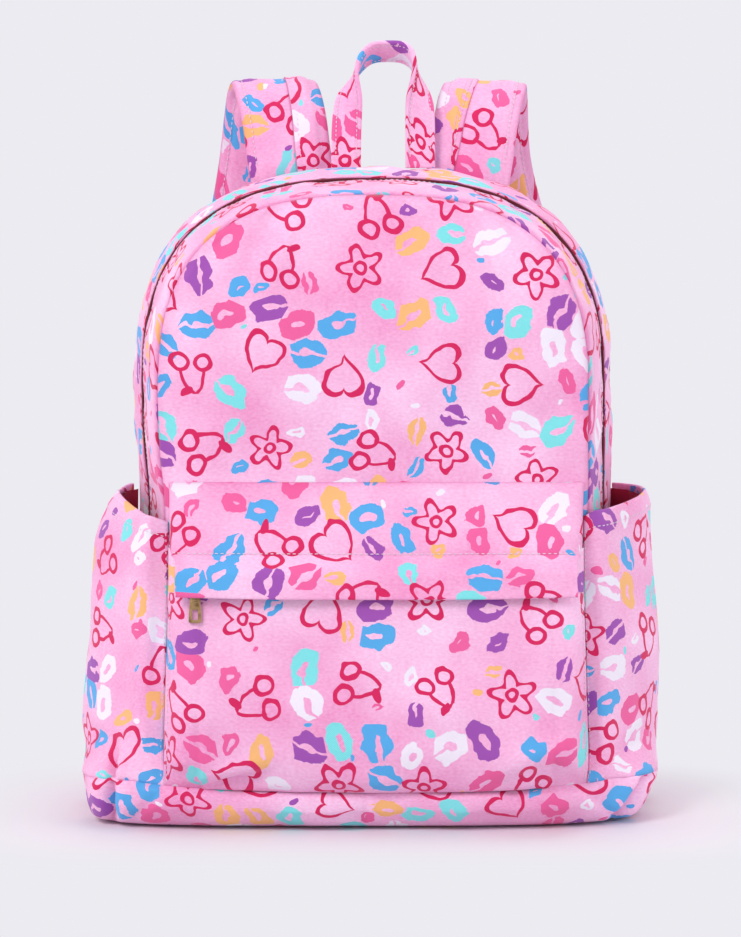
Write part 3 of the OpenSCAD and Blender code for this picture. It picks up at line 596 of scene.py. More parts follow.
class Graph:
    """Node tree of a material or the world, with one short call for each kind of node."""

    def __init__(self, owner: Union[bpy.types.Material, bpy.types.World]) -> None:
        """Empties the owner's tree.

        Args:
            owner: The material or world.
        """
        self.owner = owner
        owner.use_nodes = True
        self.nodes = owner.node_tree.nodes
        self.links = owner.node_tree.links
        self.nodes.clear()

    @classmethod
    def named(cls, name: str) -> "Graph":
        """The empty tree of a new material."""
        return cls(bpy.data.materials.new(name))

    def add(self, kind: str, inputs: dict[Union[int, str], object], **settings: object) -> bpy.types.Node:
        """Adds a node.

        Args:
            kind: Node type without its ShaderNode prefix.
            inputs: Values, terms or sockets by input name or number.
            settings: Attributes of the node.

        Returns:
            The node.
        """
        node = self.nodes.new("ShaderNode" + kind)
        for key, value in settings.items():
            setattr(node, key, value)
        for key, value in inputs.items():
            source = value.socket if isinstance(value, Term) else value
            if isinstance(source, Socket):
                self.links.new(source, node.inputs[key])
            else:
                node.inputs[key].default_value = source
        return node

    def math(self, operation: str, *values: Number, clamp: bool = False) -> "Term":
        """A Math node's result."""
        node = self.add("Math", dict(enumerate(values)), operation=operation, use_clamp=clamp)
        return Term(self, node.outputs[0])

    def split(self, vector: Socket) -> tuple["Term", "Term", "Term"]:
        """The three coordinates of a vector."""
        node = self.add("SeparateXYZ", {0: vector})
        return Term(self, node.outputs[0]), Term(self, node.outputs[1]), Term(self, node.outputs[2])

    def join(self, x: Number, y: Number, z: Number = 0.0) -> Socket:
        """A vector from three coordinates."""
        return self.add("CombineXYZ", {0: x, 1: y, 2: z}).outputs[0]

    def noise(self, vector: Socket, scale: float, detail: float = 2.0) -> "Term":
        """Noise from 0 to 1."""
        node = self.add("TexNoise", {"Vector": vector, "Scale": scale, "Detail": detail})
        return Term(self, node.outputs["Fac"])

    def blend(self, share: Number, first: object, second: object) -> Socket:
        """Colour between two colours."""
        node = self.add("Mix", {0: share, 6: first, 7: second}, data_type="RGBA")
        return node.outputs[2]

    def choose(self, share: "Term", stops: tuple[tuple[float, Tone], ...]) -> Socket:
        """One of several colours: each holds from its stop up to the next.

        Args:
            share: Number that picks the colour.
            stops: Where each colour starts, and the colour.

        Returns:
            The colour.
        """
        node = self.add("ValToRGB", {0: share})
        ramp = node.color_ramp
        ramp.interpolation = "CONSTANT"
        while len(ramp.elements) < len(stops):
            ramp.elements.new(0.5)
        for element, (place, tone) in zip(ramp.elements, stops):
            element.position = place
            element.color = tone.linear
        return node.outputs[0]

    def bump(self, height: "Term", distance: float, below: object = None) -> Socket:
        """Normal of a bump of the given height in metres.

        Args:
            height: Height from 0 to 1.
            distance: Height in metres where it's 1.
            below: Normal under the bump, if any.

        Returns:
            The normal.
        """
        inputs: dict[Union[int, str], object] = {"Height": height, "Distance": distance, "Strength": 1.0}
        if below is not None:
            inputs["Normal"] = below
        return self.add("Bump", inputs).outputs[0]

    def finish(self, **inputs: object) -> bpy.types.Material:
        """Ends the tree in a Principled shader.

        Args:
            inputs: Shader inputs, with _ for a space in their names.

        Returns:
            The material.
        """
        shader = self.add("BsdfPrincipled", {k.replace("_", " "): v for k, v in inputs.items()})
        self.add("OutputMaterial", {"Surface": shader.outputs[0]})
        return self.owner


class Term:
    """A number in a node tree; signs and comparisons between terms add Math nodes."""

    def __init__(self, graph: Graph, socket: Socket) -> None:
        """Wraps a socket.

        Args:
            graph: The tree it is in.
            socket: The output that holds the number.
        """
        self.graph = graph
        self.socket = socket

    def __add__(self, other: Number) -> "Term":
        """Sum."""
        return self.graph.math("ADD", self, other)

    def __radd__(self, other: Number) -> "Term":
        """Sum."""
        return self.graph.math("ADD", other, self)

    def __sub__(self, other: Number) -> "Term":
        """Difference."""
        return self.graph.math("SUBTRACT", self, other)

    def __rsub__(self, other: Number) -> "Term":
        """Difference."""
        return self.graph.math("SUBTRACT", other, self)

    def __mul__(self, other: Number) -> "Term":
        """Product."""
        return self.graph.math("MULTIPLY", self, other)

    __rmul__ = __mul__

    def __truediv__(self, other: Number) -> "Term":
        """Quotient."""
        return self.graph.math("DIVIDE", self, other)

    def __lt__(self, other: Number) -> "Term":
        """1 where smaller, else 0."""
        return self.graph.math("LESS_THAN", self, other)

    def __gt__(self, other: Number) -> "Term":
        """1 where greater, else 0."""
        return self.graph.math("GREATER_THAN", self, other)

    def least(self, other: Number) -> "Term":
        """Smaller of two."""
        return self.graph.math("MINIMUM", self, other)

    def most(self, other: Number) -> "Term":
        """Greater of two."""
        return self.graph.math("MAXIMUM", self, other)

    def of(self, function: str) -> "Term":
        """A Math node of one value, such as SINE, ABSOLUTE or SQRT."""
        return self.graph.math(function, self)


def hypot(x: Term, y: Term) -> Term:
    """Length of (x, y)."""
    return (x * x + y * y).of("SQRT")


def turned(x: Term, y: Term, angle: Term) -> tuple[Term, Term]:
    """Coordinates turned by an angle."""
    c, s = angle.of("COSINE"), angle.of("SINE")
    return x * c + y * s, y * c - x * s


def twill(graph: Graph, cloth: Socket, pitch: float) -> Term:
    """Twill weave from 0 to 1: slanted ribs, broken up along the warp, with uneven yarn.

    Args:
        graph: The tree.
        cloth: Cloth coordinates in metres.
        pitch: Distance between ribs in metres.

    Returns:
        Height of the weave.
    """
    x, y, _ = graph.split(cloth)
    ribs = ((x + y) * (2 * math.pi / pitch)).of("SINE")
    warp = ((x - y * 0.35) * (2 * math.pi / (pitch * 0.5))).of("SINE")
    yarn = graph.noise(cloth, 0.7 / pitch, 1.0)
    return ribs * 0.3 + warp * 0.2 + yarn * 0.5 + 0.25


class Finish:
    """A finish makes its material once and hands it out after that."""

    made: dict[str, bpy.types.Material] = {}

    def material(self) -> bpy.types.Material:
        """The finish's material."""
        key = repr(self)
        if key not in Finish.made:
            Finish.made[key] = self.build()
        return Finish.made[key]

    def build(self) -> bpy.types.Material:
        """Makes the material."""
        raise NotImplementedError


@dataclass(frozen=True)
class PrintedTwill(Finish):
    """Pink twill printed all over with rings, pebbles and crimson line drawings."""

    spot_cell: float = 0.0236
    spot_loose: float = 0.52
    spot_radius: float = 0.0116
    dab_loose: float = 0.9
    dab_radius: float = 0.0044
    dab_shift: Point = (3.0, 5.0, 0.0)
    line_cell: float = 0.0575
    line_loose: float = 0.5
    line_reach: float = 0.0165
    line_half: float = 0.088
    lobe_scale: float = 105.0
    pitch: float = 0.0011
    tints: tuple[tuple[float, Tone], ...] = (
        (0.0, Tone.WHITE), (0.19, Tone.SKY), (0.40, Tone.ROSE), (0.58, Tone.PEACH), (0.73, Tone.AQUA),
        (0.88, Tone.PURPLE),
    )

    def scatter(self, g: Graph, place: Socket, size: float, loose: float) -> bpy.types.Node:
        """Loose lattice of seats: the nearest one's distance, place and three random numbers."""
        return g.add("TexVoronoi", {"Vector": place, "Scale": 1 / size, "Randomness": loose},
                     voronoi_dimensions="2D")

    def clear_of(self, g: Graph, place: Socket, size: float, loose: float) -> Term:
        """Distance in metres from a place to the nearest seat of a lattice."""
        return Term(g, self.scatter(g, place, size, loose).outputs["Distance"]) * size

    def local(self, g: Graph, cloth: Socket, seat: Socket) -> tuple[Term, Term]:
        """Offset of the cloth's point from a seat."""
        x, y, _ = g.split(g.add("VectorMath", {0: cloth, 1: seat}, operation="SUBTRACT").outputs[0])
        return x, y

    def spots(self, g: Graph, cloth: Socket) -> tuple[Term, Socket]:
        """Rings, pairs of arcs and pebbles with a dry-brushed outline, and dabs between them.

        Args:
            g: The tree.
            cloth: Cloth coordinates.

        Returns:
            Mask of the spots, and their colour.
        """
        cell = self.scatter(g, cloth, self.spot_cell, self.spot_loose)
        kind, lean, bulk = g.split(cell.outputs["Color"])
        seat = cell.outputs["Position"]
        x, y = self.local(g, cloth, seat)
        shifted = g.add("VectorMath", {0: cloth, 1: self.dab_shift}, operation="ADD").outputs[0]
        lobes = g.noise(cloth, self.lobe_scale, 1.0) - 0.5
        drift = g.noise(shifted, self.lobe_scale, 1.0) - 0.5
        across, along, _ = g.split(cloth)
        brush = g.noise(g.join(across * 900.0, along * 420.0), 1.0, 2.0) - 0.5
        x, y = turned(x + lobes * 0.0085, y + drift * 0.0085, lean * (2 * math.pi))
        y = y * (bulk * 0.45 + 1.2)
        r = hypot(x, y) + brush * 0.0021
        room = self.clear_of(g, seat, self.line_cell, self.line_loose) - self.line_reach * 0.88
        outer = room.least(self.spot_radius + bulk * 0.0022)
        hole = (hypot(x - outer * 0.08, y * 1.55 + x * 0.3) + brush * 0.0016) < outer * 0.40
        slit = (y - 0.0006 + drift * 0.003).of("ABSOLUTE") < 0.0013 + brush * 0.0012
        gap = slit * ((x > 0.0) * (kind > 0.30)).most(kind > 0.56)
        ring = (r < outer) * (1.0 - hole) * (1.0 - gap) * (kind < 0.78)
        pebble = (r < outer * 0.66) * (1.0 - (hypot(x, y * 3.0) < outer * 0.2)) * (kind > 0.78)
        mask = ring.most(pebble) * (outer > 0.0040)
        dab = self.scatter(g, shifted, self.spot_cell * 1.03, self.dab_loose)
        dab_kind, dab_lean, _ = g.split(dab.outputs["Color"])
        home = g.add("VectorMath", {0: dab.outputs["Position"], 1: self.dab_shift},
                     operation="SUBTRACT").outputs[0]
        beside = self.clear_of(g, home, self.spot_cell, self.spot_loose)
        beyond = self.clear_of(g, home, self.line_cell, self.line_loose)
        x, y = self.local(g, cloth, home)
        x, y = turned(x + lobes * 0.004, y + drift * 0.004, dab_lean * (2 * math.pi))
        size = (beside - 0.0112).least(beyond - self.line_reach).least(self.dab_radius)
        small = ((hypot(x, y * 1.7) + brush * 0.0016) < size) * (size > 0.0019)
        draw = (kind * 17.31 + lean * 23.17 + bulk * 11.3) * (1.0 - small) + dab_kind * 9.7 * small
        return mask.most(small), g.choose(draw.of("FRACT"), self.tints)

    def drawings(self, g: Graph, cloth: Socket) -> Term:
        """Line drawings of hearts, daisies and cherry pairs, one in each cell of a wider lattice.

        Args:
            g: The tree.
            cloth: Cloth coordinates.

        Returns:
            Mask of the lines.
        """
        cell = self.scatter(g, cloth, self.line_cell, self.line_loose)
        kind, lean, bulk = g.split(cell.outputs["Color"])
        x, y = self.local(g, cloth, cell.outputs["Position"])
        wobble = g.noise(cloth, 95.0, 1.0) - 0.5
        reach = self.line_reach * (0.92 + bulk * 0.16)
        x, y = turned(x + wobble * 0.004, y - wobble * 0.004, lean * (2 * math.pi))
        x, y = x / reach, y / reach
        half = self.line_half + wobble * 0.09
        side = x.of("ABSOLUTE")
        r = hypot(x, y)
        heart = (hypot(x * 0.95, y * 1.1 + 0.12 - side.of("SQRT") * 0.66) - 0.74).of("ABSOLUTE") < half
        turn = g.math("ARCTAN2", y, x)
        petals = (r - (turn * 5.0).of("COSINE") * 0.21 - 0.66).of("ABSOLUTE") < half * 1.15
        daisy = petals.most((r - 0.2).of("ABSOLUTE") < half * 0.8)
        fruit = (hypot(side - 0.46, y + 0.44 + x * 0.16) - 0.32).of("ABSOLUTE") < half
        stem = ((hypot(side + 0.62, y + 0.05) - 1.09).of("ABSOLUTE") < half * 0.8) * (y > -0.14) * (y < 0.84)
        leaf = hypot((x - 0.34) * 0.9 + (y - 0.74) * 0.5, (y - 0.74) * 1.7 - (x - 0.34) * 0.8) < 0.3
        mask = (heart * (kind < 0.34)).most(daisy * (kind > 0.34) * (kind < 0.64))
        return mask.most(fruit.most(stem).most(leaf) * (kind > 0.64))

    def build(self) -> bpy.types.Material:
        """Makes the material: ground, spots, drawings, weave, and painted shade in the seams, tinted deeper
        pink.
        """
        g = Graph.named("printed_twill")
        cloth = g.add("UVMap", {}, uv_map=CLOTH_MAP).outputs[0]
        x, y, _ = g.split(cloth)
        broad, slub = g.noise(cloth, 14.0, 3.0), g.noise(g.join(x * 380.0, y * 620.0), 1.0, 3.0)
        paler = (broad * 1.8 + slub * 0.8 - 0.8).least(1.0).most(0.0)
        ground = g.blend(paler, Tone.PINK.linear, Tone.PALE_PINK.linear)
        spots, tint = self.spots(g, cloth)
        ground = g.blend(spots, ground, tint)
        ground = g.blend(self.drawings(g, cloth), ground, Tone.CRIMSON.linear)
        weave = twill(g, cloth, self.pitch)
        # Painted shade at seams, grooves and pleats: the colour is darkened and tinted deeper pink there.
        painted_seam_shade = Term(g, g.add("Attribute", {}, attribute_name=SEAM_SHADE).outputs["Fac"])
        shade = weave * 0.16 + slub * 0.06 + 0.88
        deep = g.join(shade * (1.0 - painted_seam_shade * 0.16), shade * (1.0 - painted_seam_shade * 0.42), shade * (1.0 - painted_seam_shade * 0.28))
        ground = g.add("VectorMath", {0: ground, 1: deep}, operation="MULTIPLY").outputs[0]
        return g.finish(Base_Color=ground, Roughness=weave * 0.12 + 0.62, Normal=g.bump(weave, 0.00016),
                        Specular_IOR_Level=0.32, Sheen_Weight=0.18, Sheen_Roughness=0.45)


@dataclass(frozen=True)
class PlainWeave(Finish):
    """Cloth of one colour with a weave and uneven dye, such as lining, tape or binding."""

    name: str
    tone: Tone
    deep: Tone
    pitch: float = 0.0008
    rib: float = 0.0
    roughness: float = 0.6
    sheen: float = 0.1

    def build(self) -> bpy.types.Material:
        """Makes the material: plain weave, or ribs across the piece where rib is their pitch."""
        g = Graph.named(self.name)
        cloth = g.add("UVMap", {}, uv_map=CLOTH_MAP).outputs[0]
        x, y, _ = g.split(cloth)
        if self.rib:
            height = (y * (2 * math.pi / self.rib)).of("SINE") * 0.5 + (
                x * (2 * math.pi / self.pitch) + y * (math.pi / self.rib)).of("SINE") * 0.25 + 0.5
        else:
            height = twill(g, cloth, self.pitch)
        dye = g.noise(cloth, 55.0, 3.0)
        # Painted shade at seams joins the uneven dye and the weave's valleys in pulling the colour towards
        # the deep tone.
        painted_seam_shade = Term(g, g.add("Attribute", {}, attribute_name=SEAM_SHADE).outputs["Fac"])
        share = (dye * 0.5 + (1.0 - height) * 0.35 + painted_seam_shade * 0.5).least(1.0)
        colour = g.blend(share, self.tone.linear, self.deep.linear)
        return g.finish(Base_Color=colour, Roughness=self.roughness, Normal=g.bump(height, 0.0002),
                        Specular_IOR_Level=0.35, Sheen_Weight=self.sheen, Sheen_Roughness=0.4)


@dataclass(frozen=True)
class Metal(Finish):
    """Antique brass: brushed, mottled darker at random and speckled with small marks."""

    tone: Tone = Tone.BRASS
    deep: Tone = Tone.BRASS_DARK

    def build(self) -> bpy.types.Material:
        """Makes the material from noise stretched along the piece."""
        g = Graph.named("antique_brass")
        place = g.add("TexCoord", {}).outputs["Object"]
        x, y, z = g.split(place)
        brushed = g.noise(g.join(x * 9000.0, y * 9000.0, z * 900.0), 1.0, 3.0)
        cloud = g.noise(place, 260.0, 4.0)
        colour = g.blend((cloud * 1.7 - 0.45).least(1.0).most(0.0), self.deep.linear, self.tone.linear)
        rough = brushed * 0.22 + cloud * 0.15 + 0.16
        return g.finish(Base_Color=colour, Roughness=rough, Metallic=1.0,
                        Normal=g.bump(brushed + cloud, 0.00003))


@dataclass(frozen=True)
class Moulded(Finish):
    """Moulded plastic with a fine spark-eroded grain and scuffed faces."""

    name: str
    tone: Tone
    roughness: float = 0.4

    def build(self) -> bpy.types.Material:
        """Makes the material."""
        g = Graph.named(self.name)
        place = g.add("TexCoord", {}).outputs["Object"]
        grain = g.noise(place, 2600.0, 2.0)
        scuff = g.noise(place, 130.0, 5.0)
        dark = tuple(c * 0.86 for c in self.tone.linear[:3]) + (1.0,)
        colour = g.blend((scuff * 2.0 - 0.7).least(1.0).most(0.0), self.tone.linear, dark)
        return g.finish(Base_Color=colour, Roughness=scuff * 0.25 + self.roughness - 0.1,
                        Normal=g.bump(grain, 0.00005), Specular_IOR_Level=0.5)


@dataclass(frozen=True)
class Thread(Finish):
    """Twisted polyester sewing thread."""

    tone: Tone = Tone.THREAD

    def build(self) -> bpy.types.Material:
        """Makes the material: slanted plies along each stitch."""
        g = Graph.named("sewing_thread")
        cloth = g.add("UVMap", {}, uv_map=CLOTH_MAP).outputs[0]
        x, y, _ = g.split(cloth)
        plies = ((x + y * 1.5) * (2 * math.pi / 0.0009)).of("SINE") * 0.5 + 0.5
        deep = tuple(c * 0.72 for c in self.tone.linear[:3]) + (1.0,)
        colour = g.blend(plies, deep, self.tone.linear)
        return g.finish(Base_Color=colour, Roughness=0.5, Normal=g.bump(plies, 0.00008), Sheen_Weight=0.2)


PRINT = PrintedTwill()
LINING = PlainWeave("crimson_lining", Tone.LINING, Tone.LINING_SHADE, pitch=0.0007, roughness=0.5, sheen=0.15)
BINDING = PlainWeave("grosgrain_binding", Tone.TAPE, Tone.DEEP, pitch=0.0009, rib=0.0014)
# Zip facing: a crimson faced edge of the rear flap, coloured dark maroon to paint the shadow in the zip
# groove.
SHADOWED_FACING = PlainWeave("zip_facing_painted_shadow", Tone.DEEP, Tone.COIL, pitch=0.0010)
TAPE = PlainWeave("herringbone_zip_tape", Tone.TAPE, Tone.COIL, pitch=0.0012, rib=0.0018)
WEBBING = PlainWeave("ribbed_webbing", Tone.WEBBING, Tone.ROSE, pitch=0.0016, rib=0.0020, roughness=0.55)
BRASS = Metal()
COIL = Moulded("nylon_coil", Tone.COIL, 0.35)
BUCKLE = Moulded("buckle_acetal", Tone.BUCKLE, 0.32)
BOARD = Moulded("base_board_plastic", Tone.BOARD, 0.5)
THREAD = Thread()
TAB = Moulded("zip_tab_cloth", Tone.TAPE, 0.6)
WEBBING_SOLID = Moulded("webbing_tab", Tone.WEBBING, 0.55)


# ---------------------------------------------------------------- shape of the body


@dataclass(frozen=True)
class BodyForm:
    """Outline of the main compartment: an arch that narrows and drops a little towards the front."""

    height: float
    half_width: float
    back_y: float
    front_y: float
    base_top: float
    fold_z: float
    draft: float = 0.020
    drop: float = 0.014
    arch: float = 0.148
    power: float = 2.65
    flare_out: float = 0.008
    flare_top: float = 0.172
    crown_out: float = 0.009
    cloth_gap: float = 0.0023
    waist: float = 0.0045
    waist_at: Pair = (0.205, 0.036)
    corner: float = 0.77
    sag_depth: float = 0.0070
    sag_reach: float = 0.155

    @classmethod
    def measured(cls) -> "BodyForm":
        """The form, with its main sizes read from the boxes of the CAD panels."""
        back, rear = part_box("back_cover"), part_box("rear_gusset")
        upper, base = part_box("front_panel_upper"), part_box("base_tub")
        return cls(back[1].z, rear[1].x, back[0].y, upper[1].y, base[1].z, upper[0].z - 0.0002)

    @property
    def spring(self) -> float:
        """Height where the straight sides end and the arch starts."""
        return self.height - self.arch

    def share(self, y: Array) -> Array:
        """Share of the way from the back seam to the front seam, to the power 1.7."""
        return np.clip((self.back_y - np.asarray(y, float)) / (self.back_y - self.front_y), 0, None) ** 1.7

    def half(self, y: Array) -> Array:
        """Half width at depth y: the back's half width less the draft."""
        return self.half_width - self.draft * self.share(y)

    def crest(self, y: Array) -> Array:
        """Height of the arch at depth y."""
        return self.height - self.drop * self.share(y)

    def flare(self, z: Array) -> Array:
        """Extra half width near the base: a parabola that ends at flare_top."""
        return self.flare_out * np.clip(1 - np.asarray(z, float) / self.flare_top, 0, 1) ** 2

    def side(self, y: Array, z: Array) -> Array:
        """Half width at depth y and height z."""
        return self.half(y) + self.flare(z)

    def stations(self, low: float, step: float) -> Array:
        """Stations round the arch at even steps, from height low on the left to height low on the right.

        Args:
            low: Height of both ends.
            step: Distance between stations.

        Returns:
            Rows of (share of the half width, height on the straight side, share of the rise): on the
            arch, |share|^power + rise^power = 1.
        """
        a = np.linspace(math.pi, 0.0, 721)
        wide = np.sign(np.cos(a)) * np.abs(np.cos(a)) ** (2 / self.power)
        high = np.abs(np.sin(a)) ** (2 / self.power)
        high[[0, -1]] = 0.0
        rising = np.linspace(low, self.spring, 60, endpoint=False)
        flat = np.zeros_like(rising)
        left = np.stack([flat - 1, rising, flat], axis=1)
        over = np.stack([wide, np.full_like(a, self.spring), high], axis=1)
        right = left[::-1] * (-1, 1, 1)
        every = np.concatenate([left, over, right])
        run = lengths(self.points(every, np.array([[0.0, self.back_y]]))[0])
        return rows_at(np.linspace(0, run[-1], int(run[-1] / step) + 1), run, every)

    def points(self, stations: Array, section: Array) -> Array:
        """Grid of points: rows follow the section from front to back, columns follow the stations.

        Args:
            stations: Stations round the arch.
            section: Rows of (inset from the outline, depth y).

        Returns:
            Points (share * (half - inset + flare), y, height + rise * (crest - inset - spring)), drawn
            in on the left at the waist.
        """
        inset, y = section[:, :1], section[:, 1:2]
        share, straight, rise = (stations[None, :, k] for k in range(3))
        z = straight + rise * (self.crest(y) - inset - self.spring)
        x = share * (self.half(y) - inset + self.flare(z))
        return grid_of(x + self.waist * bump(z, *self.waist_at) * (share < 0), y, z)

    def front_half(self, z: Array) -> Array:
        """Half width of the front panel at height z.

        Args:
            z: Height.

        Returns:
            (1 - t^power)^(1 / power) of the half width on the arch, plus the flare.
        """
        rise = self.crest(self.front_y) - self.spring
        t = np.clip((np.asarray(z, float) - self.spring) / rise, 0, 1)
        arch = self.half(self.front_y) * (1 - t**self.power) ** (1 / self.power)
        return np.maximum(arch + self.flare(z), 1e-3)

    def crown(self, x: Array, z: Array) -> Array:
        """Forward crown of the front panel: highest midway up the lid, half of it at the fold.

        Args:
            x: Sideways position.
            z: Height.

        Returns:
            Distance forwards, 0 at the outline.
        """
        top = self.crest(self.front_y)
        mid = (self.fold_z + top) / 2
        low = 0.5 * np.clip((z - self.base_top) / (self.fold_z - self.base_top), 0, 1) ** 0.7
        middle = 0.5 + 0.5 * quarter((z - self.fold_z) / (mid - self.fold_z))
        high = np.clip(1 - ((z - mid) / (top - mid)) ** 2, 0, 1) ** 0.7
        up = np.where(z < self.fold_z, low, np.where(z < mid, middle, high))
        return self.crown_out * up * np.clip(1 - (x / self.front_half(z)) ** 2, 0, 1)

    def sag(self, x: Array, y: Array) -> Array:
        """Dip of the base seam under the front pocket: deepest in the middle, none past its sides."""
        return self.sag_depth * np.clip(1 - (x / self.sag_reach) ** 2, 0, 1) ** 0.6 * ease(-0.060, -0.076, y)

    def seam(self, y: float, inset: float, low: float) -> Array:
        """Flat (x, z) points of the arch at depth y, every millimetre."""
        return self.points(self.stations(low, 0.001), np.array([[inset, y]]))[0][:, [0, 2]]

    def plate(self, y: float, inset: float, low: float, across: int, up: int) -> tuple[Array, Array]:
        """Flat grid that fills the arch, with its edges on the outline.

        Args:
            y: Depth at which the outline is taken.
            inset: Distance from the outline.
            low: Height of the lower edge.
            across: Number of columns.
            up: Number of rows.

        Returns:
            Grid of (x, z), a Coons patch whose upper corners lie on the arch at the corner's share of
            its half width, and the outline's own points.
        """
        seam = self.seam(y, inset, low)
        half = np.abs(seam[:, 0]).max()
        high = seam[:, 1] > self.spring
        left = int(np.argmin(np.abs(seam[:, 0] + self.corner * half) + ~high))
        right = len(seam) - 1 - left
        floor = np.stack([np.linspace(seam[0, 0], seam[-1, 0], across), np.full(across, low)], axis=1)
        grid = coons(floor, even(seam[right:][::-1], up), even(seam[left : right + 1], across),
                     even(seam[: left + 1], up))
        return grid, seam


def rolled(away: Array, radius: float, depth: float) -> Array:
    """Quarter-round drop into a seam: depth * (1 - sqrt(1 - (1 - away / radius)^2)) nearer than radius."""
    t = np.clip(1 - away / radius, 0, 1)
    return depth * (1 - np.sqrt(np.clip(1 - t * t, 0, 1)))


@dataclass(frozen=True)
class Crease:
    """Soft ridge, or valley if its height is negative, between two points of a panel, or a tuck under it."""

    start: Pair
    end: Pair
    height: float
    width: float
    tuck: bool = False
    tuck_reach: float = 0.02

    def __call__(self, x: Array, z: Array) -> Array:
        """Height at (x, z): a bell across the line, fading over its last third at both ends.

        Args:
            x: Sideways position.
            z: Height on the panel.

        Returns:
            The bell's height, or for a tuck a step that comes back over the tuck's reach.
        """
        a, b = np.array(self.start), np.array(self.end)
        run = np.linalg.norm(b - a)
        d = (b - a) / run
        along = ((x - a[0]) * d[0] + (z - a[1]) * d[1]) / run
        aside = (x - a[0]) * d[1] - (z - a[1]) * d[0]
        ends = ease(-0.15, 0.3, along) * ease(1.1, 0.6, along)
        if self.tuck:
            return self.height * ease(-0.3, 1.0, aside / self.width) * bump(aside, 0, self.tuck_reach) * ends
        return self.height * bump(aside, 0, self.width) * ends


# ---------------------------------------------------------------- stitching


class Stitching:
    """Collects the stitches of one body or one pair of bodies and makes them into one piece."""

    def __init__(self, name: str, placing: Placing) -> None:
        """Starts an empty collection.

        Args:
            name: Name of the piece.
            placing: What the stitches move with.
        """
        self.name = name
        self.placing = placing
        self.parts: list[tuple[Array, Array, Array]] = []

    def run(self, line: tuple[Array, Array], pitch: float = 0.0036, length: float = 0.0025,
            width: float = 0.0008, lift: float = 0.0001) -> None:
        """Adds a row of stitches.

        Args:
            line: Points and outward normals of the seam.
            pitch: Distance from stitch to stitch.
            length: Length of a stitch.
            width: Width of the thread.
            lift: Height of the thread's middle over the cloth.
        """
        points, normals = line
        along = lengths(points)
        middles = np.arange(pitch, along[-1] - pitch * 0.5, pitch)
        if len(middles) == 0:
            return
        up = rows_at(middles, along, normals)
        self.parts.append((rows_at(middles - length / 2, along, points) + up * lift,
                           rows_at(middles + length / 2, along, points) + up * lift,
                           np.concatenate([unit(up), np.full((len(middles), 1), width)], axis=1)))

    def build(self) -> Optional[Piece]:
        """Makes the piece: each stitch is a six-sided spindle of three rings and two tips."""
        if not self.parts:
            return None
        start, end, up = (np.concatenate([part[k] for part in self.parts]) for k in range(3))
        width, up = up[:, 3:], up[:, :3]
        course = unit(end - start)
        side = unit(np.cross(course, up))
        up = np.cross(side, course)
        angles = np.arange(6) * math.pi / 3
        rows = []
        for share, thick, rise in ((0.18, 0.8, 0.0), (0.5, 1.0, 0.22), (0.82, 0.8, 0.0)):
            middle = start + (end - start) * share + up * width * rise
            ring = (side[:, None] * np.cos(angles)[None, :, None]
                    + up[:, None] * np.sin(angles)[None, :, None] * 0.6)
            rows.append(middle[:, None] + ring * (width * thick / 2)[:, None])
        tips = [start - up * width * 0.3, end - up * width * 0.3]
        points = np.concatenate([tips[0][:, None], *rows, tips[1][:, None]], axis=1)
        one = [(0, 1 + (k + 1) % 6, 1 + k, 1 + k) for k in range(6)]
        one += [(1 + 6 * r + k, 1 + 6 * r + (k + 1) % 6, 7 + 6 * r + (k + 1) % 6, 7 + 6 * r + k)
                for r in range(2) for k in range(6)]
        one += [(19, 13 + k, 13 + (k + 1) % 6, 13 + (k + 1) % 6) for k in range(6)]
        faces = (np.arange(len(start))[:, None, None] * 20 + np.array(one)).reshape(-1, 4)
        mesh = smooth_mesh(self.name, points, [tuple(dict.fromkeys(f)) for f in faces.tolist()])
        rings = [[0.0008 * r, 0.0004 * k] for r in range(3) for k in range(6)]
        local = np.tile(np.concatenate([[[0, 0]], rings, [[0.0026, 0]]]), (len(start), 1))
        corners = np.zeros(len(mesh.loops), np.int32)
        mesh.loops.foreach_get("vertex_index", corners)
        mesh.uv_layers[CLOTH_MAP].data.foreach_set("uv", local[corners].astype(np.float32).ravel())
        return self.placing.place(linked(self.name, mesh), THREAD)


FOLD_START = 0.212
FOLD_END = 0.246


def folding(form: BodyForm, nodes: tuple[str, ...], slot: str = "printed_fabric") -> Placing:
    """Placing of cloth that crosses the lid's fold line, between the shell and the lid."""
    y = form.front_y - 0.0067
    return Placing("shell", nodes, slot, "lid", (0.0, y, FOLD_START), (0.0, y, FOLD_END))


# ---------------------------------------------------------------- main compartment


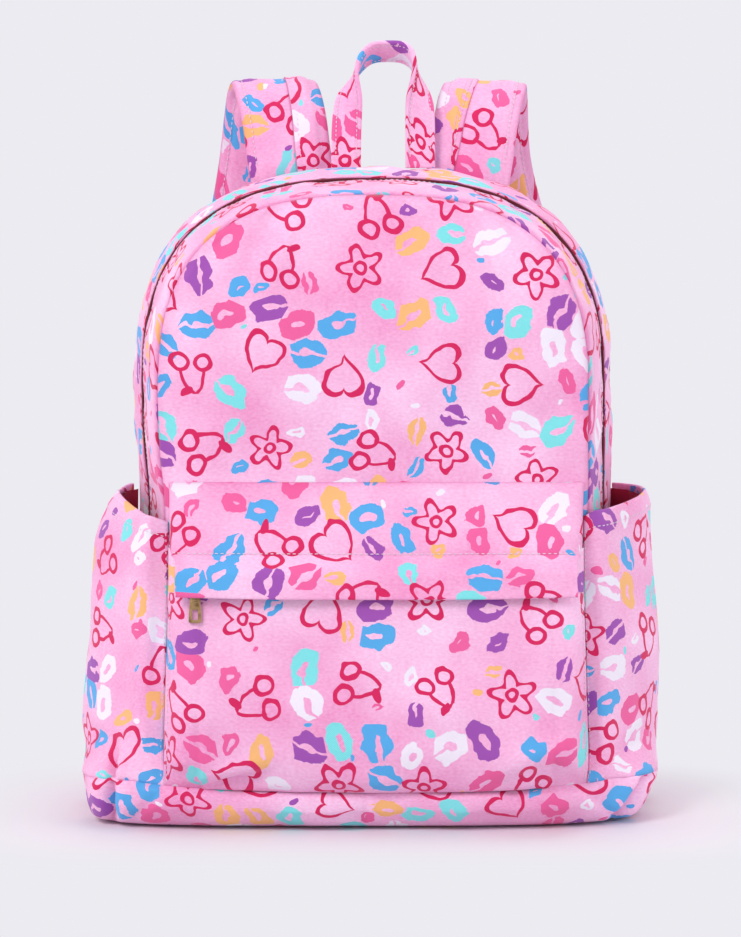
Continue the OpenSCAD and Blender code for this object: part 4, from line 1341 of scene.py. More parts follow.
@dataclass
class FrontPanel:
    """Printed front panel from the base to the top of the arch, gathered into the arch seam."""

    form: BodyForm
    columns: int = 150
    rows: int = 196
    cover: float = 0.0020
    fullness: float = 0.0022
    seam_radius: float = 0.0050
    seam_depth: float = 0.0042
    crease_gain: float = 1.7
    creases: tuple[Crease, ...] = (
        Crease((-0.047, 0.410), (-0.066, 0.352), 0.0017, 0.0055),
        Crease((-0.063, 0.409), (-0.086, 0.362), -0.0013, 0.0060),
        Crease((-0.022, 0.412), (-0.030, 0.350), -0.0010, 0.0080),
        Crease((0.030, 0.413), (0.040, 0.356), 0.0012, 0.0070),
        Crease((0.060, 0.410), (0.087, 0.350), 0.0014, 0.0070),
        Crease((0.080, 0.402), (0.108, 0.338), -0.0012, 0.0070),
        Crease((-0.120, 0.368), (-0.105, 0.300), 0.0014, 0.0080),
        Crease((-0.139, 0.300), (-0.100, 0.262), -0.0012, 0.0100),
        Crease((0.138, 0.290), (0.098, 0.256), -0.0013, 0.0100),
        Crease((0.124, 0.360), (0.106, 0.290), 0.0012, 0.0090),
    )

    def surface(self) -> Surface:
        """The panel: crown, drop into the seam, puckers and folds that fade away from it, soft waves."""
        form = self.form
        grid, seam = form.plate(form.front_y, 0.0012, form.base_top + 0.0005, self.columns, self.rows)
        x, z = grid[..., 0], grid[..., 1]
        away, along = seam_field(grid, seam)
        noise = Crumple(11)
        full = 1 - np.abs(x / form.front_half(z)) ** 4
        out = self.cover + form.crown(x, z)
        out += self.fullness * np.clip(full, 0, 1) * ease(0.24, 0.30, z) * ease(0, 0.03, away)
        out -= rolled(away, self.seam_radius, self.seam_depth)
        upper = ease(0.225, 0.27, z)
        out += upper * puckers(noise, along, 3.0, away, height=0.0013, cell=0.0085, reach=0.010, rise=0.003)
        drawn = 0.0021 * noise(along / 0.024 + away / 0.11, 9.0) * fade(away, 0.036) * ease(0, 0.006, away)
        folded = 0.0010 * noise.folds(along / 0.036 + away / 0.07, 4.0)
        out += upper * (drawn + folded * fade(away, 0.030) * ease(0, 0.008, away))
        soft = noise.waves(x, z, height=0.0024, cells=(0.062, 0.080), shift=(5, 0), octaves=2)
        out += soft * ease(0, 0.035, away) * ease(0.228, 0.26, z)
        for crease in self.creases:
            out += self.crease_gain * crease(x, z) * ease(0, 0.006, away)
        return Surface(grid_of(x, form.front_y - out, z), grid + (0.31, 0.118), shade=fade(away, 0.0022))

    def build(self) -> None:
        """Makes the panel over the fold between the shell and the lid."""
        placing = folding(self.form, ("front_panel_upper", "front_panel_lower"))
        placing.printed("front_panel_cloth", [self.surface()], 0.0012)


@dataclass
class Gussets:
    """Printed bands on both sides of the main zip, each turned under at the zip's groove."""

    form: BodyForm
    low: float
    front_threads: Stitching
    rear_threads: Stitching
    step: float = 0.0022
    thickness: float = 0.0009
    front_section: tuple[Pair, ...] = (
        (4.4, -65.6), (2.9, -67.2), (1.5, -67.6), (0.5, -66.8), (0.1, -65.0), (-0.4, -59.0), (-0.7, -50.0),
        (-0.6, -40.0), (-0.1, -30.0), (0.4, -25.0), (0.0, -22.0), (0.0, -18.5), (0.4, -16.2), (1.1, -15.0),
        (1.9, -14.9), (2.5, -15.8), (2.8, -18.0), (3.0, -25.0),
    )
    facing_section: tuple[Pair, ...] = (
        (3.1, 3.0), (3.1, -4.0), (3.0, -6.2), (2.2, -7.5), (1.0, -7.7), (0.3, -7.5), (0.0, -6.8), (0.4, -5.4),
    )
    rear_section: tuple[Pair, ...] = (
        (0.9, -6.0), (0.5, -7.0), (-0.2, -7.2), (-0.8, -6.2), (-0.8, -3.6), (-0.4, 0.0),
        (0.5, 3.0), (-0.1, 8.0), (-0.9, 20.0), (-1.3, 35.0), (-1.1, 50.0), (-0.3, 60.0), (0.3, 64.5),
        (1.1, 67.2), (2.3, 68.5), (4.0, 68.2),
    )

    def band(self, section: tuple[Pair, ...], at: Pair, seed: int) -> tuple[Surface, Array]:
        """One band, with cross wrinkles that are strongest on the straight sides and in the seams.

        Args:
            section: Rows of (inset, y) in millimetres, from front to back.
            at: Where the band lies on the cloth.
            seed: Start of the wrinkles.

        Returns:
            The surface and its section.
        """
        line = even(through(np.array(section) / 1000.0, 8), 40)
        stations = self.form.stations(self.low, self.step)
        points = self.form.points(stations, line)
        cloth = cloth_of(points, at)
        run = np.arange(len(stations)) * self.step
        y = line[:, 1][:, None]
        middle = ease(0, 0.010, y - y.min()) * (1 - ease(-0.012, 0.0, y - y.max()))
        noise = Crumple(seed)
        straight = 1 - ease(0.05, 0.30, np.abs(stations[:, 2]))[None]
        fine = noise.waves(run, y, height=0.0009, cells=(0.020, 0.03), shift=(y * 30, 0), octaves=2)
        height = fine * middle
        slack = noise.waves(run, y, height=0.0013, cells=(0.034, 0.05), shift=(0, 4))
        height += slack * middle * (0.35 + 0.65 * straight)
        edge = np.minimum(y - y.min(), y.max() - y)
        height += noise.waves(run, y, height=0.0010, cells=(0.0125, 0.05), shift=(0, 6)) * fade(edge, 0.011)
        height += 0.0008 * noise.folds(run / 0.030 + y / 0.04, 2.0) * middle
        shade = np.broadcast_to(fade(edge, 0.0020), points.shape[:2])
        return Surface(points, cloth, shade=shade).raised(height), line

    def seam_run(self, surface: Surface, line: Array, y: float) -> tuple[Array, Array]:
        """A line round the band at depth y, on its outer side.

        Args:
            surface: The band.
            line: Its section, as (inset, y).
            y: Depth of the line.

        Returns:
            Points and normals of the line.
        """
        outer = np.where(line[:, 0] < 0.0011)[0]
        row = np.interp(y, line[outer, 1], outer)
        columns = np.arange(0, surface.points.shape[1] - 1, 0.5)
        return surface.line(np.full(len(columns), row), columns)

    def build(self) -> None:
        """Makes both bands and the stitching beside the zip."""
        front, line = self.band(self.front_section, (0.05, 0.71), 21)
        nodes = ("front_gusset_upper", "front_zip_flap_upper", "front_gusset_lower", "front_zip_flap_lower")
        folding(self.form, nodes).printed("front_gusset_cloth", [front], self.thickness)
        self.front_threads.run(self.seam_run(front, line, -0.0215))
        rear, line = self.band(self.rear_section, (0.62, 0.93), 22)
        placing = Placing("shell", ("rear_gusset", "rear_zip_flap"))
        placing.printed("rear_gusset_cloth", [rear], self.thickness)
        self.rear_threads.run(self.seam_run(rear, line, 0.0005))
        # The rear flap's faced edge, in a dark finish that paints the shadow in the zip groove.
        line = even(through(np.array(self.facing_section) / 1000.0, 6), 24)
        points = self.form.points(self.form.stations(self.low, 0.0035), line)
        facing = Surface(points, cloth_of(points)[..., ::-1])
        Placing("shell", (), "zip_tape").sewn("rear_zip_facing", [facing], 0.0005, SHADOWED_FACING)


COIL_PITCH = 0.0016
COIL_HEIGHT = 0.0022
TOOTH = ((0.42, 0.36), (0.50, 0.46), (0.62, 0.50))


@dataclass
class MainZip:
    """Zip tapes and meshed coils round the arch; the tabs that close their ends are the CAD's own, finished
    with the interior.
    """

    form: BodyForm
    zip_y: float
    chain_x: float
    low: float
    coil_half: float = 0.0026
    coil_gap: float = 0.0006
    tape_reach: Pair = (0.018, 0.016)

    def inset(self, y: Array, out: float) -> Array:
        """Inset that lies on the chain's own surface at depth y, moved out by a distance."""
        return self.form.half(y) - self.chain_x - out

    def tape(self, rear: bool) -> Piece:
        """One half of the tape, from the coil to under its gusset, with a corded edge.

        Args:
            rear: Whether it's the half behind the coil.

        Returns:
            The piece.
        """
        sign = 1.0 if rear else -1.0
        y0 = self.zip_y + sign * self.coil_half * 0.7
        y1 = self.zip_y + sign * self.tape_reach[1 if rear else 0]
        y = np.linspace(min(y0, y1), max(y0, y1), 9)
        out = 0.0004 + 0.0006 * bump(y, y0 + sign * 0.0012, 0.0009)
        section = np.stack([self.inset(y, 0.0) - out, y], axis=1)
        points = self.form.points(self.form.stations(self.low, 0.004), section)
        name = "zip_tape_rear_strip" if rear else "zip_tape_front_strip"
        return make_piece(name, [Surface(points, cloth_of(points)[..., ::-1])])

    def coil(self, rear: bool) -> Piece:
        """One half of the coil: hooked teeth at even steps, each a six-sided bar with a raised head.

        Args:
            rear: Whether it's the half behind the middle.

        Returns:
            The piece.
        """
        sign = 1.0 if rear else -1.0
        stations = self.form.stations(self.low + 0.001, COIL_PITCH)
        if not rear:
            stations = (stations[2:] + stations[1:-1]) / 2
        y = np.array([self.coil_half * 1.1, self.coil_half * 0.45, self.coil_gap * 0.6]) * sign + self.zip_y
        section = np.stack([self.inset(y, 0.0), y], axis=1)
        core = self.form.points(stations, section)
        course = unit(np.gradient(core[1], axis=0))
        outward = unit(np.cross(course, np.array([0.0, 1.0, 0.0])))
        angles = np.arange(6) * math.pi / 3
        rings = []
        for k, (thick, tall) in enumerate(TOOTH):
            ring = (course[:, None] * (np.cos(angles) * thick * COIL_PITCH * 0.5)[None, :, None]
                    + outward[:, None] * (np.sin(angles) * tall * COIL_HEIGHT)[None, :, None])
            rings.append(core[k][:, None] + ring)
        points = np.stack(rings, axis=1)
        name = "zip_coil_rear_teeth" if rear else "zip_coil_front_teeth"
        return make_teeth(name, points, flip=not rear)

    def build(self) -> None:
        """Makes both halves; the front one crosses the lid's fold."""
        front = folding(self.form, ("main_zip_tape_front_upper", "main_zip_tape_front_lower"), "zip_tape")
        front.place(self.tape(False), TAPE)
        Placing("shell", ("main_zip_tape_rear",), "zip_tape").place(self.tape(True), TAPE)
        front = folding(self.form, ("main_zip_coil_front_upper", "main_zip_coil_front_lower"), "zip_coil")
        front.place(self.coil(False), COIL)
        Placing("shell", ("main_zip_coil_rear",), "zip_coil").place(self.coil(True), COIL)


def make_teeth(name: str, rings: Array, flip: bool) -> Piece:
    """Joins many short bars into one mesh.

    Args:
        name: Object name.
        rings: Points of shape (teeth, rings, sides, 3).
        flip: Whether the rings run clockwise round each bar, seen along it.

    Returns:
        The new object.
    """
    teeth, count, sides = rings.shape[:3]
    turn = [(k, (k + 1) % sides, sides + (k + 1) % sides, sides + k) for k in range(sides)]
    one = [tuple(r * sides + corner for corner in face) for r in range(count - 1) for face in turn]
    size = count * sides
    quads = (np.arange(teeth)[:, None, None] * size + np.array(one)).reshape(-1, 4)
    caps = np.stack([np.arange(sides)[::-1], np.arange(sides) + size - sides])
    ends = (np.arange(teeth)[:, None, None] * size + caps).reshape(-1, sides)
    faces = quads.tolist() + ends.tolist()
    return linked(name, smooth_mesh(name, rings, [f[::-1] for f in faces] if flip else faces))


# ---------------------------------------------------------------- front pocket


@dataclass(frozen=True)
class PocketForm:
    """Shape of the zip pocket on the front: flat across, boxed at its sides, fullest low down."""

    form: BodyForm
    centre: float
    half: float
    face_top: float
    flap_z: float
    zip_z: float
    bulge: float = 0.024
    seat: float = 0.008
    edge: float = 0.86
    skin: float = 0.0018
    turn: float = 0.028
    shoulder: float = 0.045
    spread_at: Pair = (0.055, 0.165)
    spread_ends: Pair = (0.0010, -0.0030)

    @classmethod
    def measured(cls, form: BodyForm) -> "PocketForm":
        """The form, with its main sizes read from the boxes of the CAD nodes.

        Args:
            form: Shape of the body.

        Returns:
            The form.
        """
        face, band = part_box("pocket_face"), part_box("pocket_top_band")
        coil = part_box("pocket_zip_coil_lower")
        return cls(form, (face[0].x + face[1].x) / 2, (face[1].x - face[0].x) / 2, face[1].z, band[0].z,
                   coil[0].z + 0.0026)

    def side(self, u: Array) -> Array:
        """Share of the depth at sideways position u: 1 in the middle, then (1 - e^2.4)^0.6 to the edge."""
        e = np.clip((np.abs(u) - self.edge) / (1 - self.edge), 0, 1)
        return (1 - e**2.4) ** 0.6

    def depth(self, z: Array) -> Array:
        """Bulge at height z: a sine from the lid's fold down to the turn, then a quarter ellipse.

        Args:
            z: Height.

        Returns:
            Distance forwards.
        """
        low = self.form.base_top + self.turn
        above = quarter((self.form.fold_z - z) / (self.form.fold_z - low))
        below = np.sqrt(np.clip(1 - (0.92 * (low - z) / self.turn) ** 2, 0, 1))
        return self.bulge * np.where(z > low, above, below)

    def out(self, x: Array, z: Array) -> Array:
        """Distance of the outer surface in front of the front seam plane.

        Args:
            x: Sideways position.
            z: Height.

        Returns:
            Cloth and crown of the panel behind, plus the pocket's seat and depth, eased out at the sides.
        """
        u = (x - self.centre) / self.half
        k = quarter((self.form.fold_z - z) / self.shoulder) ** 2
        s = self.side(u)
        near = self.form.cloth_gap + self.skin + self.form.crown(x, z) * (1 - k * s)
        return near + (self.seat * k + self.depth(z)) * s

    def columns(self, count: int, z: float = 0.10) -> Array:
        """Sideways positions u from -1 to 1 at even steps along the pocket's section at height z.

        Args:
            count: Number of positions.
            z: Height of the section.

        Returns:
            The positions.
        """
        u = np.linspace(-1, 1, 4001)
        x = self.centre + u * self.half
        return evened(np.stack([x, -self.out(x, np.full_like(x, z))], axis=1), u, count)

    def spread(self, z: Array) -> Array:
        """Extra half width at height z: a little at the base, less than none under the zip."""
        return np.interp(z, self.spread_at, self.spread_ends)

    def grid(self, u: Array, z: Array) -> Array:
        """Points of the pocket's outer surface at positions u and heights z, as a grid.

        Args:
            u: Positions, -1 at the left seam and 1 at the right.
            z: Heights.

        Returns:
            Grid of points.
        """
        u, z = np.broadcast_arrays(u, z)
        x = self.centre + u * self.half
        return np.stack([x + u * self.spread(z), self.form.front_y - self.out(x, z), z], axis=2)


@dataclass
class FrontPocket:
    """Pocket face, top band with its storm flap, cheeks beside the zip, and the pocket's zip."""

    shape: PocketForm
    base: "Base"
    threads: Stitching
    count: int = 172
    stand: float = 0.0076
    flap_share: float = 0.955
    flap_drop: float = 0.0235
    tooth_reach: Point = (0.0027, 0.0012, 0.0003)
    face_creases: tuple[Crease, ...] = (
        Crease((-0.130, 0.030), (-0.066, 0.050), -0.0085, 0.0050, True),
        Crease((-0.132, 0.036), (-0.062, 0.056), 0.0022, 0.0040),
        Crease((-0.112, 0.030), (-0.050, 0.037), 0.0022, 0.0040),
        Crease((-0.118, 0.110), (-0.100, 0.060), 0.0012, 0.0080),
        Crease((0.130, 0.050), (0.070, 0.036), -0.0032, 0.0048),
        Crease((0.130, 0.062), (0.076, 0.048), 0.0024, 0.0070),
        Crease((0.112, 0.110), (0.095, 0.060), 0.0010, 0.0090),
        Crease((-0.020, 0.052), (0.030, 0.047), -0.0010, 0.0060),
        Crease((-0.110, 0.150), (-0.060, 0.120), -0.0008, 0.0100),
    )

    def face(self) -> Surface:
        """The face: sags at its lower edge, gathers into its base and side seams, folds at the corners."""
        shape = self.shape
        u = shape.columns(self.count)[None, :]
        low, high = shape.form.base_top - 0.0008, shape.face_top
        z = np.linspace(low, high, 1201)[:, None]
        line = np.concatenate([-shape.out(np.zeros_like(z) + shape.centre, z), z], axis=1)
        z = even(line, 86)[:, 1:]
        grid = shape.grid(u, z)
        x = grid[..., 0]
        noise = Crumple(31)
        edge = (1 - np.abs(u)) * shape.half
        down = z - low
        inner = ease(0, 0.012, edge) * ease(0, 0.010, down)
        calm = 1 - 0.8 * ease(high - 0.052, high - 0.024, z)
        soft = noise.waves(x, z, height=0.0019, cells=(0.050, 0.042), shift=(0, 7), octaves=2)
        height = soft * inner * calm
        height += puckers(noise, x, 2.0, down, height=0.0015, cell=0.0160, reach=0.014, rise=0.003)
        height += puckers(noise, z, 5.0 + np.sign(u), edge, height=0.0011, cell=0.0150, reach=0.014,
                          rise=0.003)
        height -= 0.0010 * bump(edge, 0.0245, 0.0022) - 0.0007 * bump(edge, 0.0285, 0.004)
        for crease in self.face_creases:
            height = height + crease(x, z) * ease(0, 0.006, down)
        height -= rolled(edge, 0.0022, 0.0012) + rolled(down, 0.0018, 0.0008)
        cloth = cloth_of(grid, (-0.42, 0.35))
        near = ease(0.018, 0, down)
        grid[..., 1] += (self.base.front(x) - grid[..., 1]) * near * ease(0.090, 0.120, np.abs(x))
        grid[..., 2] -= shape.form.sag(x, grid[..., 1]) * ease(0.040, 0, down)
        shade = np.maximum(0.45 * fade(edge, 0.0020), 0.8 * fade(down, 0.0020))
        return Surface(grid, cloth, shade=shade).raised(height)

    def band(self) -> Surface:
        """The top band and storm flap as one cloth, from the flap's free edge up to the pocket's top seam."""
        shape = self.shape
        form = shape.form
        u = shape.columns(self.count, shape.flap_z)[None, :]
        z = np.concatenate([np.linspace(shape.flap_z - self.flap_drop, shape.flap_z - 0.001, 18),
                            np.linspace(shape.flap_z + 0.0006, form.fold_z - 0.0004, 36)])[:, None]
        free = ease(shape.flap_z + 0.007, shape.flap_z - 0.003, z)
        side = u * (1 - free * (1 - self.flap_share))
        flat = shape.grid(u * 0.86, z)
        grid = shape.grid(side, z)
        grid[..., 1] = grid[..., 1] * (1 - free) + flat[..., 1] * free
        lift = self.stand * ease(shape.flap_z + 0.004, shape.flap_z - 0.010, z)
        grid[..., 1] -= lift
        grid[..., 2] += free * 0.0018 * np.abs(u) ** 3
        x = grid[..., 0]
        noise = Crumple(37)
        top = form.fold_z - z
        below = z - z.min()
        soft = noise.waves(x, z, height=0.0008, cells=(0.045, 0.03), shift=(0, 3), octaves=2)
        height = soft * ease(0, 0.006, top)
        height += puckers(noise, x, 1.0, top, height=0.0010, cell=0.0130, reach=0.009, rise=0.004)
        height += 0.0009 * noise(x / 0.060, 8.0) * fade(below, 0.014)
        height -= rolled(top, 0.0042, 0.0040)
        sewn = shape.flap_z + 0.0035
        height -= 0.0006 * bump(z, sewn, 0.0010) - 0.0003 * bump(z, sewn - 0.003, 0.0015)
        edge = (1 - np.abs(u)) * shape.half
        height -= rolled(edge, 0.0028, 0.0022) * (1 - free)
        cloth = cloth_of(grid, (0.15, -0.55))
        shade = np.maximum(fade(top, 0.0022), fade(edge, 0.0022) * (1 - free))
        return Surface(grid, cloth, shade=shade).raised(height)

    def cheeks(self) -> list[Surface]:
        """Short gussets that close the pocket's sides beside the ends of the zip."""
        shape = self.shape
        found = []
        for low, high in ((-0.999, -0.835), (0.835, 0.999)):
            u = np.linspace(low, high, 26)[None, :]
            z = np.linspace(shape.face_top - 0.010, shape.flap_z + 0.006, 20)[:, None]
            grid = shape.grid(u, z)
            grid[..., 1] += 0.0022
            found.append(Surface(grid, cloth_of(grid, (-0.9, 0.2))))
        return found

    def tapes(self) -> list[Surface]:
        """Zip tapes behind the face's and the flap's edges, each with a corded edge beside the coil."""
        shape = self.shape
        found = []
        reach = shape.edge - 0.01
        spans = ((shape.face_top - 0.007, shape.zip_z - 0.0016), (shape.zip_z + 0.0016, shape.flap_z + 0.006))
        for (low, high), cord in zip(spans, (spans[0][1], spans[1][0])):
            z = np.linspace(low, high, 12)[:, None]
            grid = shape.grid(np.linspace(-reach, reach, 120)[None, :], z)
            grid[..., 1] += shape.skin + 0.0003 - 0.0006 * bump(z, cord, 0.0012)
            found.append(Surface(grid, cloth_of(grid)))
        return found

    def coils(self) -> tuple[Piece, Piece]:
        """Both halves of the pocket's coil: straight rows of teeth, the upper one half a pitch further on."""
        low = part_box("pocket_zip_coil_lower")
        y = (low[0].y + low[1].y) / 2
        angles = np.arange(6) * math.pi / 3
        made = []
        for name, sign in (("pocket_coil_lower_teeth", -1.0), ("pocket_coil_upper_teeth", 1.0)):
            x = np.arange(low[0].x + 0.001, low[1].x - 0.001, COIL_PITCH)
            x = x + (0.0 if sign < 0 else COIL_PITCH / 2)
            rings = []
            for reach, (thick, tall) in zip(self.tooth_reach, TOOTH):
                wide, high = thick * COIL_PITCH / 2, tall * COIL_HEIGHT
                ring = np.stack([np.cos(angles) * wide, -np.sin(angles) * high, np.zeros(6)], axis=1)
                middle = np.stack(np.broadcast_arrays(x, y, self.shape.zip_z + sign * reach), axis=1)
                rings.append(middle[:, None] + ring[None])
            made.append(make_teeth(name, np.stack(rings, axis=1), flip=sign < 0))
        return made[0], made[1]

    def build(self) -> None:
        """Makes the pocket's cloth, zip and topstitching."""
        shape = self.shape
        face = self.face()
        pieces = [hemmed(face, 0.0009, 0.006), *self.cheeks()]
        Placing("shell", ("pocket_face",)).printed("pocket_face_cloth", pieces, 0.0011)
        band = self.band()
        y = shape.form.front_y - 0.0233
        hinged = Placing("shell", ("pocket_top_band", "pocket_flap"), "printed_fabric", "pocket_flap",
                         (0.0, y, shape.flap_z + 0.003), (0.0, y, shape.flap_z - 0.005))
        hinged.printed("pocket_band_and_flap", [hemmed(band.picked(BACK, BACK), 0.0010, 0.010)], 0.0010)
        placing = Placing("shell", ("pocket_zip_tape_lower", "pocket_zip_tape_upper"), "zip_tape")
        placing.sewn("pocket_zip_tapes", self.tapes(), 0.0006, TAPE)
        for coil, node in zip(self.coils(), ("pocket_zip_coil_lower", "pocket_zip_coil_upper")):
            Placing("shell", (node,), "zip_coil").place(coil, COIL)
        self.stitch(face, band)

    def stitch(self, face: Surface, band: Surface) -> None:
        """Topstitching down both sides of the face, and above the flap.

        Args:
            face: The face.
            band: The top band with its flap.
        """
        rows, cols = face.points.shape[:2]
        edge = (1 - np.abs(self.shape.columns(self.count))) * self.shape.half
        run = np.arange(1, rows - 2, 0.5)
        for half in (slice(0, cols // 2), slice(cols // 2, cols)):
            inside = np.arange(cols)[half]
            column = inside[np.argmin(np.abs(edge[half] - 0.0030))]
            self.threads.run(face.line(run, np.full(len(run), float(column))))
        z = band.points[:, cols // 2, 2]
        row = float(np.interp(self.shape.flap_z + 0.0036, z, np.arange(len(z))))
        along = np.arange(3, cols - 4, 0.5)
        self.threads.run(band.line(np.full(len(along), row), along))


# ---------------------------------------------------------------- side pockets and lower sides


@dataclass
class SidePocket:
    """Open bottle pocket, from the back seam to the front seam and on round the corner to the zip pocket.

    The cloth's inner face starts a little off the side panel, swells with height, leans in at the rim
    and lands on the base's top edge. Its sizes are given for the left or the right pocket.
    """

    form: BodyForm
    shape: PocketForm
    base: "Base"
    side: int
    threads: Stitching
    front_y: float
    back_y: float
    rim_front: float
    rim_back: float
    lean: Pair
    bulge: float = 0.033
    hem: float = 0.011
    proud: float = 0.0044
    count: int = 104
    rows: int = 92
    wrap: int = 12
    lap: Pair = (0.0022, 0.0018)
    pleat_x: float = -0.1715

    def swell(self, z: Array) -> Array:
        """Bulge at height z: quick rise out of the base, then a slow draw-in towards the rim.

        Args:
            z: Height.

        Returns:
            Distance outwards at the pocket's middle.
        """
        t = (z - self.form.base_top) / (self.rim_back - self.form.base_top)
        low = self.base.half_x - 0.0019 - float(self.form.side(0.0, self.form.base_top))
        full = low + (self.bulge - low) * quarter(t * 6) - 0.010 * np.maximum(0, t - 0.4)
        return full - self.side * 0.0028 * bump(z, 0.058, 0.034)

    def rim(self, u: Array) -> Array:
        """Height of the rim: it climbs from the front seam, then runs level to the back seam."""
        return self.rim_front + (self.rim_back - self.rim_front) * quarter(u * 1.8)

    def columns(self) -> Array:
        """Positions u from 0 at the front seam to 1 at the back seam, even along the pocket's section."""
        u = np.linspace(0, 1, 4001)
        line = np.stack([u * (self.back_y - self.front_y), self.bulge * np.sin(math.pi * u) ** 0.55], axis=1)
        return evened(line, u, self.count)

    def foot(self, section: Array) -> Array:
        """Points (x, y) on the base's top edge, spaced like the points of a section of the pocket.

        Args:
            section: The section, from the zip pocket's side seam to the back seam.

        Returns:
            One point for each of its own.
        """
        angle = np.linspace(-math.pi / 2, math.pi / 2, 4001)
        x, y = self.base.ring(self.base.half_x + self.lap[0], self.base.half_y + self.lap[1],
                              self.base.power, angle if self.side > 0 else math.pi - angle)
        x = np.abs(x + self.base.slump(x, self.form.base_top))
        kept = np.where(angle < 0, x > section[0, 0], x > section[-1, 0])
        edge = np.stack([x, y], axis=1)[kept]
        run, wanted = lengths(edge), lengths(section)
        return rows_at(wanted * run[-1] / wanted[-1], run, edge)

    def grid(self, out: float, low: float, drop: float, wrap: int = 0) -> tuple[Array, Array, Array]:
        """Points moved out from the pocket's inner face.

        Args:
            out: Distance outwards.
            low: Height of the first row.
            drop: Distance of the last row below the rim.
            wrap: Number of columns round the front corner, from the zip pocket's side seam.

        Returns:
            Points seen from outside, positions u of the columns (below 0 round the corner), and heights.
        """
        u = np.concatenate([np.arange(-wrap, 0) / max(wrap, 1), self.columns()])[None, :]
        share = np.linspace(0, 1, self.rows)[:, None]
        behind, round_front = np.clip(u, 0, 1), np.clip(u + 1, 0, 1)
        z = low + (self.rim(behind) - drop - low - 0.0040 * (1 - round_front)) * share
        away = (self.back_y - self.front_y) * behind
        y = np.broadcast_to(self.front_y + away, z.shape)
        below = self.rim(behind) - z
        lean = self.lean[0] * np.clip(1 - below / self.lean[1], 0, 1) ** 1.7
        belly = np.clip(np.sin(math.pi * behind), 0, 1) ** 0.55
        x = self.form.side(y, z) + 0.0003 + (self.swell(z) - lean) * belly + out
        if wrap:
            seam = self.shape.half + self.side * self.shape.centre + self.shape.spread(z) - 0.0008
            x = seam + (x - seam) * round_front
            y = y - self.proud * ease(0.014, 0, away)
            line = np.stack([x[self.rows // 4], y[self.rows // 4]], axis=1)
            foot = self.foot(line)
            near = ease(0.026, 0, z - low) * ease(0.95, 0.70, behind)
            x = x + (foot[None, :, 0] - x) * near
            y = y + (foot[None, :, 1] - y) * near
        order = ALL if self.side > 0 else BACK
        return grid_of(self.side * x, y, z)[:, order], u[:, order], z[:, order]

    def cloth(self) -> Surface:
        """Outer cloth: soft waves, puckers at the seams and under the hem, pinched corners at the base."""
        low = self.form.base_top - 0.0012
        points, u, z = self.grid(0.0026, low, 0.0, self.wrap)
        middle = points[self.rows // 4]
        run = lengths(middle)[None, :]
        run = run if self.side > 0 else run[:, -1:] - run
        noise = Crumple(40 + self.side)
        below = z[-1:] - z
        up = z - low
        edge = np.minimum(run, run.max() - run)
        inner = ease(0, 0.008, edge) * ease(0, 0.008, up)
        height = noise.waves(run, z, height=0.0019, cells=(0.040, 0.060), octaves=2) * inner
        height += puckers(noise, run, 3 + z / 0.10, up, height=0.0013, cell=0.0135, reach=0.022, rise=0.004)
        height += 0.0010 * noise(run / 0.0120, 9.0) * fade(np.abs(below - self.hem), 0.012) * inner
        height += puckers(noise, z, 6.0, edge, height=0.0011, cell=0.0170, reach=0.012, rise=0.002)
        height += 0.0007 * ease(self.hem + 0.0005, self.hem - 0.0025, below)
        climb = ease(0, 0.3, u)
        valley = 0.0018 * bump(up, 0.014 + 0.012 * climb, 0.0045) * bump(u, 0.16, 0.14)
        ridge = 0.0014 * bump(up, 0.026 + 0.010 * climb, 0.006) * bump(u, 0.2, 0.16)
        height += (ridge - valley) * ease(0, 0.006, edge)
        x = points[..., 0]
        plain = 1 - 0.7 * ease(0.162, 0.170, np.abs(x))
        height -= rolled(edge, 0.0014, 0.0007) + rolled(up, 0.0016, 0.0007) * plain
        corner = (points[..., 1] < 0) * ease(0.028, 0.008, up)
        pleat = bump(x, self.pleat_x, 0.0022) * corner
        beside = bump(x, self.pleat_x + 0.0060, 0.0040) * corner * ease(0, 0.004, up)
        height += 0.0020 * beside - 0.0064 * pleat
        cloth = cloth_of(points, (0.25 * self.side + 1.4, 0.9))
        points[..., 2] -= self.form.sag(x, points[..., 1]) * ease(0.040, 0, up)
        shade = np.maximum(np.maximum(0.4 * fade(edge, 0.0014), 0.7 * fade(up, 0.0016) * plain), 0.8 * pleat)
        return Surface(points, cloth, shade=shade).raised(height)

    def lining(self) -> Surface:
        """Inner lining with shallow pleats that hang from the rim."""
        points, u, z = self.grid(0.0, self.form.base_top + 0.001, 0.0025)
        noise = Crumple(50 + self.side)
        edge = ease(0, 0.015, np.minimum(u, 1 - u) * 0.128)
        pleats = np.abs(noise.waves(u, z, height=0.0022, cells=(0.075, 0.12)))
        height = -pleats * edge - 0.0002 - 0.0022 * (1 - edge)
        height -= 0.0024 * ease(0.100, 0.070, z)
        return Surface(points, cloth_of(points)).raised(height)

    def build(self) -> None:
        """Makes the cloth with its hem, the lining and the topstitching."""
        word = hand(self.side)
        cloth = self.cloth()
        nodes = (f"side_pocket_{word}", f"side_pocket_hem_{word}")
        turned_in = hemmed(cloth, 0.0011, 0.012, 5)
        Placing("shell", nodes).printed(f"side_pocket_cloth_{word}", [turned_in], 0.0009)
        lining = make_piece(f"side_pocket_lining_cloth_{word}", [self.lining()])
        Placing("shell", (f"side_pocket_lining_{word}",), "lining").place(lining, LINING)
        z = cloth.points[:, :, 2]
        cols = np.arange(1, z.shape[1] - 2, 0.5)
        rows = [np.interp(z[-1, int(c)] - self.hem + 0.0016, z[:, int(c)], np.arange(len(z))) for c in cols]
        self.threads.run(cloth.line(np.array(rows), cols))
        seam = 2.0 if self.side > 0 else z.shape[1] - 3.0
        run = np.arange(2, len(z) - 3, 0.5)
        self.threads.run(cloth.line(run, np.full(len(run), seam)), 0.0040, 0.0020)


